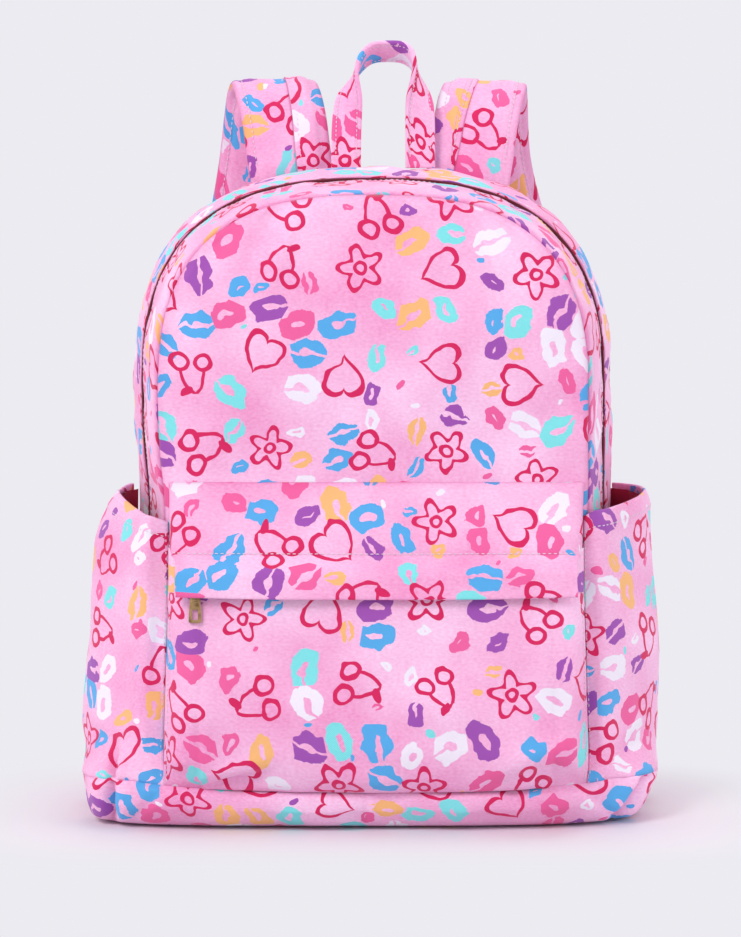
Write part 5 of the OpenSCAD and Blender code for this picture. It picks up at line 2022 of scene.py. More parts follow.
@dataclass
class LowerSide:
    """Flat side panel behind a side pocket, from the base up to the ends of the zip."""

    form: BodyForm
    side: int
    top: float

    def build(self) -> None:
        """Makes the panel with a shallow wave and a lining on its inner side."""
        word = hand(self.side)
        y = np.linspace(self.form.front_y + 0.0008, self.form.back_y - 0.0004, 44)[None, ::self.side]
        z = np.linspace(self.form.base_top + 0.0005, self.top + 0.003, 48)[:, None]
        noise = Crumple(60 + self.side)
        edge = np.minimum(y - y.min(), y.max() - y)
        wave = np.abs(noise.waves(y, z, height=0.0014, cells=(0.03, 0.04))) * ease(0, 0.012, edge)
        x = self.form.side(y, z) - 0.0006 - wave - rolled(edge, 0.004, 0.003)
        points = grid_of(self.side * x, y, z)
        panel = Surface(points, cloth_of(points, (2.1 * self.side, 0.2)))
        Placing("shell", (f"lower_side_panel_{word}",)).printed(f"lower_side_cloth_{word}", [panel], 0.0011)


# ---------------------------------------------------------------- base


@dataclass
class Base:
    """Boxed base: a shallow printed tub with rounded corners and a seam round its top.

    Rows of the profile hold the distance outwards in x and in y, the height, all in millimetres, and
    the power of the superellipse. Pairs hold the left end's size and the right end's.
    """

    form: BodyForm
    half_x: float
    centre_y: float
    half_y: float
    count: int = 440
    power: float = 4.6
    front_power: Pair = (0.72, 1.05)
    girth: float = 1.04
    height: float = 0.033
    corner_x: Pair = (0.1715, 0.1690)
    pinch_depth: Pair = (0.0060, 0.0044)
    pinch_width: Pair = (0.0024, 0.0038)
    slumps: Pair = (0.0030, 0.0048)
    profile: tuple[tuple[float, float, float, float], ...] = (
        (-16.0, -22.0, 0.0, 4.6), (-11.0, -15.0, 0.7, 4.6), (-7.6, -9.0, 2.4, 4.6), (-4.6, -3.6, 5.6, 4.6),
        (-2.4, -0.4, 10.2, 4.6), (-0.8, 1.0, 15.0, 4.6), (0.4, 1.8, 20.0, 4.6), (1.2, 2.0, 25.0, 4.6),
        (1.6, 1.6, 29.4, 4.6), (1.5, 1.2, 31.9, 4.6), (0.8, 0.3, 33.0, 4.6), (-5.0, -4.0, 33.1, 4.7),
        (-16.0, -9.0, 33.0, 5.2), (-57.0, -20.4, 33.0, 8.0),
    )

    def ring(self, hx: Array, hy: Array, power: Array, angle: Array) -> tuple[Array, Array]:
        """Superellipse points: sign(cos) |cos|^(2/power) times the half width, and the same for sin.

        Args:
            hx: Half width.
            hy: Half depth.
            power: Power; it's changed at the two front corners.
            angle: Angles.

        Returns:
            The points' x and y.
        """
        c, s = np.cos(angle), np.sin(angle)
        power = power * np.where(s < 0, np.where(c > 0, *self.front_power), 1.0)
        return (hx * np.sign(c) * np.abs(c) ** (2 / power),
                self.centre_y + hy * np.sign(s) * np.abs(s) ** (2 / power))

    def front(self, x: Array) -> Array:
        """Depth y of the front of the top edge at sideways position x.

        Args:
            x: Sideways position.

        Returns:
            centre - half depth * (1 - |x / half width|^power)^(1 / power).
        """
        power = self.power * np.where(x > 0, *self.front_power)
        reach = np.clip(np.abs(x) / (self.half_x + 0.0014), 0, 1)
        return self.centre_y - (self.half_y + 0.0010) * (1 - reach**power) ** (1 / power)

    def slump(self, x: Array, z: Array) -> Array:
        """Sideways shift: the left end leans out by 3 mm, the right end draws in by 5 mm low down."""
        left, right = self.slumps
        return -left * ease(0.10, 0.17, -x) - right * ease(0.030, 0.006, z) * ease(0.10, 0.17, x)

    def angles(self) -> Array:
        """Angles that space the points evenly round the widest ring."""
        a = np.linspace(0, 2 * math.pi, 20001)
        x, y = self.ring(self.half_x, self.half_y, self.power, a)
        return evened(np.stack([x, y], axis=1), a, self.count, endpoint=False)

    def wall(self) -> Surface:
        """The wall and lip: soft waves, a pinched vertical seam at each corner, folds beside it."""
        line = through(np.array(self.profile) / (1000, 1000, 1000, 1), 8)
        line = line[np.concatenate([[True], np.linalg.norm(np.diff(line[:, :3], axis=0), axis=1) > 1e-6])]
        run = lengths(line[:, :3])
        wanted = np.concatenate([np.linspace(0, run[run < 0.055][-1], 54), np.linspace(0.057, run[-1], 8)])
        line = rows_at(wanted, run, line)
        angle = self.angles()[None, :]
        x, y = self.ring(self.half_x + line[:, :1], self.half_y + line[:, 1:2], line[:, 3:], angle)
        z = line[:, 2:3]
        x = x + self.slump(x, z) * (line[:, :1] > -0.020)
        around = np.linspace(0, self.girth, self.count + 1)
        noise = Crumple(71)
        body = ease(0.0, 0.008, z) * ease(self.height, self.height - 0.004, z)
        height = noise.waves(around[None, :-1], z, height=0.0020, cells=(0.034, 0.026), octaves=2) * body
        height += 0.0012 * noise(around[None, :-1] / 0.0130, 4.0) * fade(self.height - z, 0.008) * body
        left, right = self.corner_x
        corner = np.abs(np.where(x < 0, -x - left, x - right - 0.75 * (z - 0.016)))
        deep, wide = np.where(x < 0, *self.pinch_depth), np.where(x < 0, *self.pinch_width)
        height -= deep * bump(corner, 0, wide) * body
        height += 0.0024 * bump(corner, 0.0080, 0.0050) * body
        slant = self.half_x - 0.052 + 0.9 * (0.030 - z)
        height -= 0.0016 * bump(np.abs(x), slant, 0.0040) * body
        roll = ease(0.004, 0.018, z) * ease(self.height, self.height - 0.005, z)
        height += 0.0030 * ease(-0.040, -0.075, y) * roll
        shade = np.maximum(bump(corner, 0, 0.0020), 1 - ease(0.0, 0.003, z)) * (z < 0.031)
        cloth = np.stack(np.broadcast_arrays(around[None] - 0.3, wanted[:, None] - 1.3), axis=2)
        points = grid_of(x, y, z - self.form.sag(x, y) * ease(0.010, 0.030, z))
        return Surface(points, cloth, True, shade).raised(height)

    def underside(self) -> Surface:
        """The flat underside, as rings from the middle out to the wall."""
        angle = self.angles()[None, :]
        share = np.linspace(0.01, 1.0, 26)[:, None]
        x, y = self.ring(self.half_x - 0.016, self.half_y - 0.0220, self.power, angle)
        x = x + self.slump(x, 0.0)
        points = grid_of(x * share, (y - self.centre_y) * share + self.centre_y, 0.00002)
        closed = np.concatenate([points, points[:, :1]], axis=1)
        return Surface(points, closed[..., :2] * (1, -1) + (0.8, -2.0), ring=True)

    def build(self) -> None:
        """Makes the tub: its wall and underside as one cloth."""
        Placing("shell", ("base_tub",)).printed("base_cloth", [self.wall(), self.underside()], 0.0012)


# ---------------------------------------------------------------- back panel


@dataclass
class BackPanel:
    """Padded back panel with sewn channels, its lining, and the patch over the strap roots."""

    form: BodyForm
    threads: Stitching
    cover: float = 0.0024
    puff: float = 0.0031
    thickness: float = 0.0085
    channels: tuple[float, ...] = (-0.052, 0.052)
    channel_width: float = 0.0034
    cross_z: float = 0.118
    top_shift: float = 0.005
    patch_rows: Pair = (2.6, 28.0)

    def pad(self) -> Surface:
        """Outer face: puffed between its edge and the channels, which fade out under the patch."""
        form = self.form
        grid, seam = form.plate(form.back_y, 0.0006, form.base_top + 0.0006, 132, 168)
        grid = grid * (-1, 1)
        x, z = grid[..., 0], grid[..., 1]
        away, along = seam_field(grid * (-1, 1), seam)
        low = z - form.base_top
        noise = Crumple(81)
        free = ease(0.378, 0.345, z)
        corners = ease(0.085, 0.11, z + np.maximum(0.13 - np.abs(x), 0) * 3)
        out = self.cover + self.puff * ease(0.0, 0.030, np.minimum(away, low)) * free * corners
        for channel in self.channels:
            out -= 0.0032 * bump(x, channel, self.channel_width) * free * ease(0.040, 0.060, z)
        out -= 0.0030 * bump(z, self.cross_z, self.channel_width)
        out += noise.waves(x, z, height=0.0006, cells=(0.045, 0.05), octaves=2) * free
        out += puckers(noise, along, 2.0, away, height=0.0006, cell=0.009, reach=0.008, rise=0.003)
        out -= rolled(away, 0.0042, 0.0038)
        cloth = np.stack([1.9 - x, z - 0.9], axis=2)
        return Surface(grid_of(x, form.back_y + out, z), cloth, shade=fade(away, 0.0022))

    def build(self) -> None:
        """Makes the pad, its stitching, the lining behind it and the anchor patch."""
        pad = self.pad()
        placing = Placing("shell", ("back_cover", "back_foam"))
        piece = placing.printed("back_panel_pad", [pad], self.thickness)
        x = pad.points[:, :, 0]
        rows = np.linspace(8, 140, 240)
        for channel in self.channels:
            columns = [np.interp(-channel, -x[int(row)], np.arange(x.shape[1])) for row in rows]
            self.threads.run(pad.line(rows, np.array(columns)))
        self.inside()
        self.patch()

    def inside(self) -> None:
        """Lining on the inner face of the padding."""
        form = self.form
        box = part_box("back_lining")
        grid, _ = form.plate(form.back_y, 0.0030, form.base_top + 0.001, 70, 90)
        x, z = grid[..., 0], grid[..., 1]
        noise = Crumple(83)
        wave = np.abs(noise.waves(x, z, height=0.0009, cells=(0.05, 0.06), octaves=2))
        y = box[0].y + 0.0002 - wave * ease(0.26, 0.3, z)
        surface = Surface(grid_of(x, y, z), grid)
        Placing("shell", ("back_lining",), "lining").sewn("back_lining_cloth", [surface], 0.0006, LINING)

    def patch(self) -> None:
        """Reinforcement patch: turned edges and two rows of stitching across it."""
        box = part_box("strap_anchor_patch")
        middle = self.top_shift
        half, low, high = box[1].x - middle, box[0].z, box[1].z
        z = np.linspace(low, high, 34)[:, None]
        cut = 0.010
        corner = high - cut
        above = half - cut - (half - 0.040 - cut) * (z - corner) / cut
        width = np.where(z < corner, half - cut * ease(low, corner, z), above)
        x = middle - np.linspace(-1, 1, 90)[None, :] * width
        edge = np.minimum(width - np.abs(x - middle), np.minimum(z - low, high - z))
        points = grid_of(x, box[1].y - rolled(edge, 0.0016, 0.0014) - 0.0004 * bump(edge, 0.0035, 0.0009), z)
        surface = Surface(points, cloth_of(points, (2.6, 0.4)), shade=fade(edge, 0.0012))
        Placing("shell", ("strap_anchor_patch",)).printed("anchor_patch_cloth", [surface], 0.0008)
        for row in self.patch_rows:
            self.threads.run(surface.line(np.full(160, row), np.linspace(3, 86, 160)))


@dataclass
class AnchorWing:
    """Triangular tab sewn into the side seam, which holds the lower end of the webbing."""

    side: int
    threads: Stitching
    corners: tuple[Pair, ...] = ((0.162, 0.042), (0.161, 0.090), (0.139, 0.080), (0.129, 0.060))
    count: int = 24

    def build(self) -> None:
        """Makes the tab as a Coons patch with turned, stitched edges."""
        word = hand(self.side)
        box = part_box(f"anchor_wing_{word}")
        a, b, c, d = (np.array(p) * (self.side, 1) for p in self.corners)
        p, q, r, s = (a, d, c, b) if self.side > 0 else (d, a, b, c)
        grid = coons(*(straight(m, n, self.count) for m, n in ((p, q), (q, r), (s, r), (p, s))))
        u = np.abs(np.linspace(-1, 1, self.count))
        edge = (1 - np.maximum(u[None, :], u[:, None])) * 0.014
        y = box[1].y - rolled(edge, 0.0018, 0.0018) - 0.0004 * bump(edge, 0.0035, 0.0009)
        points = grid_of(grid[..., 0], y, grid[..., 1])
        surface = Surface(points, cloth_of(points, (3.3, 1.1 * self.side)), shade=fade(edge, 0.0012))
        Placing("shell", (f"anchor_wing_{word}",)).printed(f"anchor_wing_cloth_{word}", [surface], 0.0022)
        around = np.linspace(4.5, 18.5, 60)
        self.threads.run(surface.line(around, np.full(60, 5.5 if self.side > 0 else 17.5)))
        self.threads.run(surface.line(np.full(60, 5.5), around))


# ---------------------------------------------------------------- straps


@dataclass
class Strap:
    """Padded shoulder strap: rises from the patch, folds over and hangs down the back."""

    side: int
    lap: Pair
    tuck: float
    root: Point = (-0.059, 0.0805, 0.416)
    route: tuple[Point, ...] = (
        (0, 0, 0), (-4, 1, 24), (-7, 5, 46), (-11, 14, 63), (-15, 27, 70), (-19, 40, 63), (-22, 48, 44),
        (-26, 50, 12), (-35, 46, -40), (-45, 39, -100), (-51, 33, -160), (-50, 29, -215), (-47, 26, -258),
    )
    width: float = 0.058
    thickness: float = 0.011
    shift: float = 0.005
    join: Pair = (0.418, 0.440)
    lap_place: float = 0.2
    lap_end: float = 0.24
    lap_stitch: float = 0.0034
    tip: float = 0.94
    bend_at: Pair = (0.085, 0.045)
    crowd: tuple[float, ...] = (-0.08, -0.045, -0.022, -0.008, 0.008, 0.022, 0.06, 0.10, 0.14, 0.17, 0.20)

    def placing(self, *nodes: str) -> Placing:
        """Placing of what runs from the shell into the strap."""
        y = self.root[1]
        return Placing("shell", nodes, "printed_fabric", f"strap_{hand(self.side)}", (0.0, y, self.join[0]),
                       (0.0, y, self.join[1]))

    def line(self) -> Array:
        """Middle line of the left strap, smooth and even; a tuck draws its bend towards the loop."""
        line = through(np.array(self.route, float) / 1000 + self.root, 24)
        line[:, 0] += self.tuck * bump(line[:, 2], 0.435, 0.060) * ease(0.100, 0.122, line[:, 1])
        return even(line, 300)

    def frames(self) -> tuple[Array, Array, Array]:
        """The line with its width directions and its outward directions."""
        line = self.line()
        course = unit(np.gradient(line, axis=0))
        across = unit(np.array([1.0, 0, 0]) - course * course[:, :1])
        return line, across, np.cross(course, across)

    def section(self, count: int = 26) -> tuple[Array, Array]:
        """Closed section of the pad: positions across, from -1 to 1, and which face each point is on.

        Args:
            count: Points on each face, besides those that crowd round the lap seam.

        Returns:
            Positions, and 1 for the outer face or -1 for the show face, in counter-clockwise order.
        """
        across = np.sin(np.linspace(-1, 1, count) * math.pi / 2 * 0.985)
        show = across[np.abs(across - self.lap_place) > 0.10]
        show = np.sort(np.concatenate([show, self.lap_place + np.array(self.crowd)]))
        return (np.concatenate([show, across[::-1]]),
                np.concatenate([-np.ones(len(show)), np.ones(count)]))

    def surface(self) -> Surface:
        """The cover: soft pad, flat sewn edges, a lap seam on the show face and creases in the bend."""
        line, across, outward = self.frames()
        run = lengths(line)
        share = (run / run[-1])[:, None]
        place, face = self.section()
        place, face = place[None, :], face[None, :]
        taper = self.taper(share)
        a = place * self.width / 2 * taper
        length = run[:, None]
        seam = self.seam(length)
        move = (seam - self.lap_place * self.width / 2) * (face < 0) * (length < self.lap_end)
        a = a + move * np.interp(place, (-0.9, self.lap_place, 0.9), (0, 1, 0))
        margin = self.width / 2 * taper - np.abs(a)
        noise = Crumple(90 + self.side)
        half = self.thickness / 2 * (0.62 + 0.38 * ease(0.003, 0.012, margin))
        half = half * np.sqrt(np.clip(1 - (1 - np.clip(margin / 0.0032, 0, 1)) ** 2, 0.004, 1))
        half -= 0.0007 * bump(margin, 0.0062, 0.0010)
        bend = bump(length, *self.bend_at)
        half += noise.waves(a, length, height=0.0006, cells=(0.02, 0.03), shift=(4, face), octaves=2)
        outer = noise.waves(a, length, height=0.0012, cells=(0.06, 0.0085), shift=(0, 3 * face))
        inner = noise.waves(a, length, height=0.0007, cells=(0.05, 0.018), shift=(9, 0))
        half += np.where(face > 0, outer, inner) * bend
        over = (place > self.lap_place) * (face < 0) * ease(self.lap_end, self.lap_end - 0.02, length)
        half += 0.0013 * over * ease(0.022, 0.012, a - seam)
        half -= 0.0006 * bump(a, seam + self.lap_stitch, 0.0011) * (face < 0)
        thin = 1 - 0.35 * ease(0.02, 0.0, length)
        b = face * half * thin
        section = np.stack(np.broadcast_arrays(a, b), axis=2)
        surface = swept(line, across, outward, section, (3.9 + self.side * 0.35, 0.2))
        surface.cloth += np.concatenate([over, over[:, :1]], axis=1)[..., None] * (0.037, 0.021)
        groove = bump(a, seam - 0.0003, 0.0008) * (face < 0) * (place < self.lap_place)
        surface.shade = np.maximum(groove, fade(margin, 0.0016))
        return surface

    def taper(self, share: Array) -> Array:
        """Share of the width at a share of the length: it narrows towards the lower end."""
        return 1 - 4.2 * np.maximum(share - self.tip, 0)

    def seam(self, length: Array) -> Array:
        """Where the lap seam runs across the strap at a distance from the root: a slanted straight line."""
        return self.lap[0] + self.lap[1] * np.minimum(length, 0.2)

    def build(self) -> None:
        """Makes the cover with its stitching, mirrored for the right strap."""
        word = hand(self.side)
        surface = self.surface()
        flip = np.array([1.0 if self.side < 0 else -1.0, 1, 1])
        move = np.array([self.shift, 0, 0])
        if self.side > 0:
            surface = surface.picked(ALL, BACK)
        surface.points = surface.points * flip + move
        piece = make_piece(f"strap_{word}_cover", [surface], closed=True)
        self.placing(f"strap_cover_{word}", f"strap_foam_{word}").place(piece, PRINT)
        self.stitch(flip, move)

    def stitch(self, flip: Array, move: Array) -> None:
        """Rows of stitches beside both edges and the lap seam.

        Args:
            flip: Signs that mirror the left strap.
            move: Sideways shift of the pair.
        """
        threads = Stitching(f"stitching_strap_{hand(self.side)}", self.placing())
        line, across, outward = self.frames()
        run = lengths(line)
        taper = self.taper(run / run[-1])[:, None]
        keep = run > 0.018
        for sign in (-1, 1):
            a = sign * (self.width / 2 * taper - 0.0060)
            for face in (-1, 1):
                points = line + across * a + outward * face * (self.thickness / 2 * 0.74)
                threads.run(((points * flip + move)[keep], (outward * face * flip)[keep]))
        keep = (run > 0.018) & (run < 0.2)
        aside = (self.seam(run) + self.lap_stitch)[:, None]
        points = line + across * aside - outward * (self.thickness / 2 + 0.0009)
        threads.run(((points * flip + move)[keep], (-outward * flip)[keep]))
        threads.build()


@dataclass
class StrapWebbing:
    """Adjusting webbing from the ladder lock down to the anchor wing."""

    side: int
    route: tuple[Point, ...] = (
        (-105, 104.4, 128), (-108, 104.6, 115), (-114, 100, 101), (-121, 92, 88), (-129, 82, 77),
        (-137, 76.6, 69), (-144, 75.8, 62),
    )
    width: float = 0.025
    thickness: float = 0.0016
    shift: float = 0.005

    def build(self) -> None:
        """Makes the webbing, which runs from the strap to the shell, with rounded selvedges."""
        word = hand(self.side)
        line = even(through(np.array(self.route, float) / 1000, 12), 70)
        share = np.linspace(0, 1, len(line))[:, None]
        line = line - (self.side * self.shift, 0, 0) * (1 - share)
        course = unit(np.gradient(line, axis=0))
        lean = unit(unit(np.array([1.0, 0, -1.0])) * share + np.array([1.0, 0, 0]) * (1 - share))
        across = unit(lean - course * (lean * course).sum(1, keepdims=True))
        outward = np.cross(course, across)
        a = np.linspace(-1, 1, 17)
        b = np.sqrt(np.clip(1 - np.abs(a) ** 8, 0.02, 1)) * (1 + 0.10 * np.cos(a * 9 * math.pi))
        surface = swept(line, across, outward, two_faced(a * self.width / 2, b * self.thickness / 2))
        if self.side > 0:
            surface = surface.picked(ALL, BACK)
            surface.points = surface.points * (-1, 1, 1)
        piece = make_piece(f"webbing_band_{word}", [surface], closed=True)
        Placing("shell", (f"webbing_{word}",), "webbing", f"strap_{word}", (0.0, 0.0766, 0.072),
                (0.0, 0.1044, 0.124)).place(piece, WEBBING)


@dataclass
class HaulLoop:
    """Folded band that stands in the top seam as a handle, stitched along both edges."""

    threads: Stitching
    centre: float
    root_z: float
    y: float
    spacing: float = 0.0510
    sway: float = 0.0040
    rise: float = 0.087
    lean: float = 0.014
    tilt: float = 43.0
    width: float = 0.0205
    thickness: float = 0.0032
    count: int = 170

    def frames(self) -> tuple[Array, Array, Array]:
        """Middle line, edge directions and outward directions: the band turns to face up at its crown."""
        a = np.linspace(math.pi, 0, 1201)
        s, c = np.clip(np.sin(a), 0, 1), np.cos(a)
        tilt = math.radians(self.tilt)
        rise = self.rise - self.width / 2 * math.sin(tilt)
        dense = np.stack([self.centre + self.sway * s**2 + self.spacing / 2 * np.sign(c) * np.abs(c) ** 0.55,
                          self.y + self.lean * s**2, self.root_z + rise * s**0.62], axis=1)
        line = even(dense, self.count)
        s = np.interp(np.linspace(0, 1, self.count), lengths(dense) / lengths(dense)[-1], s)
        course = unit(np.gradient(line, axis=0))
        course[0], course[-1] = (0, 0, 1), (0, 0, -1)
        turn = (s * s * (3 - 2 * s))[:, None]
        foot = np.where(np.arange(self.count) < self.count // 2, 1.0, -1.0)[:, None] * (1.0, 0, 0)
        edge = foot * (1 - turn) + np.array([[0, -math.cos(tilt), math.sin(tilt)]]) * turn
        across = unit(edge - course * (edge * course).sum(1, keepdims=True))
        return line, across, np.cross(course, across)

    def build(self) -> None:
        """Makes the band as two flat faces with rolled edges, and four rows of stitches."""
        line, across, outward = self.frames()
        a = np.sin(np.linspace(-1, 1, 23) * math.pi / 2 * 0.98)
        margin = (1 - np.abs(a)) * self.width / 2
        b = self.thickness / 2 * np.sqrt(np.clip(1 - (1 - np.clip(margin / 0.0016, 0, 1)) ** 2, 0.01, 1))
        b = b * (1 - 0.28 * bump(margin, 0.0032, 0.0008))
        section = two_faced(a * self.width / 2, b)
        noise = Crumple(95)
        run = lengths(line)[:, None]
        full = np.broadcast_to(section, (len(line),) + section.shape).copy()
        full[..., 1] += noise.waves(run, section[None, :, 0], height=0.0004, cells=(0.016, 0.012), octaves=2)
        surface = swept(line, across, outward, full, (5.2, 0.4))
        piece = make_piece("haul_loop_band", [surface], closed=True)
        y = self.y - 0.0018
        Placing("shell", ("haul_loop",), "printed_fabric", "haul_loop", (0.0, y, self.root_z),
                (0.0, y, self.root_z + 0.014)).place(piece, PRINT)
        keep = slice(4, -4)
        aside = self.width / 2 - 0.0032
        for sign in (-1, 1):
            for face in (-1, 1):
                points = line + across * sign * aside + outward * face * self.thickness * 0.42
                self.threads.run((points[keep], (outward * face)[keep]), pitch=0.0030, length=0.0021)


# ---------------------------------------------------------------- inside


@dataclass
class Interior:
    """What shows when the lid is down: lid lining, laptop sleeve, bindings, board and zip tabs."""

    form: BodyForm

    def lid_lining(self) -> None:
        """Crimson skin behind the front gusset."""
        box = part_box("lid_lining")
        section = np.stack([np.full(12, 0.0031), np.linspace(box[0].y, box[1].y, 12)], axis=1)
        points = self.form.points(self.form.stations(box[0].z + 0.0005, 0.004), section)
        noise = Crumple(101)
        run = np.arange(points.shape[1]) * 0.004
        height = -np.abs(noise.waves(run, section[:, 1:], height=0.0009, cells=(0.022, 0.03)))
        surface = Surface(points, cloth_of(points)).raised(height)
        Placing("lid", ("lid_lining",), "lining").sewn("lid_lining_cloth", [surface], 0.0006, LINING)

    def sleeve(self) -> None:
        """Padded sleeve: a wall that wraps round its front corners and sides, quilted across, bound at its
        edge.
        """
        box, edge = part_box("laptop_sleeve"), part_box("sleeve_binding")
        half, front, back = box[1].x, box[0].y, box[1].y
        z = np.linspace(box[0].z, edge[1].z - 0.0010, 110)[:, None]
        corner = 0.006
        path = [(-half, back)]
        for a in np.linspace(math.pi, 1.5 * math.pi, 8):
            path.append((-half + corner + corner * math.cos(a), front + corner + corner * math.sin(a)))
        path += [(-x, y) for x, y in path[::-1]]
        line = even(np.array(path), 150)
        run = lengths(line)
        points = grid_of(line[None, :, 0], line[None, :, 1], z)
        across = np.minimum(run, run[-1] - run)[None, :]
        height = 0.0010 * np.abs(np.sin((z - box[0].z) / 0.030 * math.pi)) * ease(0.03, 0.04, across) - 0.0008
        surface = Surface(points, cloth_of(points)).raised(height)
        placing = Placing("shell", ("laptop_sleeve",), "lining")
        piece = placing.sewn("laptop_sleeve_pad", [surface], 0.0036, LINING)
        self.edge_binding(box[0].y + 0.0020, edge[0], edge[1])

    def edge_binding(self, depth: float, low: Vector, high: Vector) -> None:
        """Binding folded over the sleeve's top edge.

        Args:
            depth: Depth y of its middle.
            low: Lower corner of its box.
            high: Upper corner of its box.
        """
        section = [(-0.0027, low.z - high.z), (-0.0028, -0.004)]
        section += [(0.0028 * math.sin(t), 0.0022 * math.cos(t) - 0.0014)
                    for t in np.linspace(-math.pi / 2, math.pi / 2, 9)]
        section += [(0.0028, -0.004), (0.0027, low.z - high.z)]
        line = np.array(section)
        grid = grid_of(np.linspace(high.x, low.x, 130)[None, :], depth + line[:, :1], high.z + line[:, 1:])
        surface = Surface(grid[:, ::-1], cloth_of(grid)[:, ::-1, ::-1])
        placing = Placing("shell", ("sleeve_binding",), "binding")
        placing.sewn("sleeve_edge_binding", [surface], 0.0005, BINDING)

    def seam_binding(self) -> None:
        """Grosgrain binding over the raw back seam, folded round its edge."""
        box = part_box("rear_seam_binding")
        y = np.linspace(box[0].y, box[1].y, 10)
        section = np.stack([0.0043 - 0.0004 * bump(y, y[0] + 0.001, 0.001), y], axis=1)
        points = self.form.points(self.form.stations(box[0].z, 0.004), section)
        surface = Surface(points[:, ::-1], cloth_of(points)[:, ::-1, ::-1])
        placing = Placing("shell", ("rear_seam_binding",), "binding")
        placing.sewn("back_seam_binding", [surface], 0.0012, BINDING)

    def build(self) -> None:
        """Makes the soft pieces, and gives the CAD's own board and zip tabs their finishes."""
        self.lid_lining()
        self.sleeve()
        self.seam_binding()
        for node, finish in (("base_board", BOARD), ("main_zip_end_tabs", TAB)):
            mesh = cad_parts[node].data
            mesh.materials.clear()
            mesh.materials.append(finish.material())


# ---------------------------------------------------------------- hardware


@dataclass
class Hardware:
    """Zip sliders, pull tabs and strap locks: the CAD solids with softened edges; the pull tabs' cast ribs
    come from PullGrip.
    """

    node: str
    body: str
    finish: Finish
    slot: str
    edge: float = 0.00028

    def build(self) -> Piece:
        """Makes a merged, bevelled copy of the node's mesh."""
        mesh = bpy.data.meshes.new(f"{self.node}_cast")
        solid = bmesh.new()
        solid.from_mesh(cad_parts[self.node].data)
        bmesh.ops.remove_doubles(solid, verts=solid.verts, dist=1e-6)
        bmesh.ops.dissolve_limit(solid, angle_limit=math.radians(1.0), verts=solid.verts, edges=solid.edges)
        solid.to_mesh(mesh)
        solid.free()
        mesh.materials.clear()
        for extra in list(mesh.uv_layers):
            mesh.uv_layers.remove(extra)
        piece = linked(mesh.name, mesh)
        mesh.polygons.foreach_set("use_smooth", np.ones(len(mesh.polygons), bool))
        soft = piece.modifiers.new("edges", "BEVEL")
        soft.width, soft.segments, soft.limit_method = self.edge, 3, "ANGLE"
        soft.angle_limit = math.radians(32)
        soft.harden_normals = True
        return Placing(self.body, (self.node,), self.slot).place(piece, self.finish)


@dataclass
class PullGrip:
    """Raised ribbed field cast on both faces of a pull tab, between its eye and its window."""

    node: str
    body: str
    ribs: int = 6
    start: float = 0.0092
    step: float = 0.0012
    stand: float = 0.00062
    radius: float = 0.00036
    bar: tuple[Pair, ...] = ((-0.0023, 0.4), (-0.0021, 1.0), (0.0021, 1.0), (0.0023, 0.4))

    def build(self) -> None:
        """Makes ribs as short rounded bars across the tab, laid along the tab's own slope."""
        points = np.zeros(len(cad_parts[self.node].data.vertices) * 3, np.float32)
        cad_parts[self.node].data.vertices.foreach_get("co", points)
        points = points.reshape(-1, 3).astype(float)
        middle = (points.max(0) + points.min(0)) / 2
        spread = np.linalg.svd(points - points.mean(0), full_matrices=False)[2]
        down = spread[0] if spread[0][2] < 0 else -spread[0]
        across = spread[1]
        out = np.cross(down, across)
        length = np.ptp((points - middle) @ down)
        angles = np.arange(8) * math.pi / 4
        circle = (down[None] * np.cos(angles)[:, None] + out[None] * np.sin(angles)[:, None]) * self.radius
        rings = []
        for sign in (-1, 1):
            for k in range(self.ribs):
                place = self.start + self.step * k - length * 0.5
                centre = middle + down * place + out * sign * self.stand
                rings.append([centre + across * reach + circle * thick for reach, thick in self.bar])
        piece = make_teeth(f"{self.node}_grip", np.array(rings), flip=False)
        Placing(self.body, (), "brass_hardware").place(piece, BRASS)


# ---------------------------------------------------------------- stage


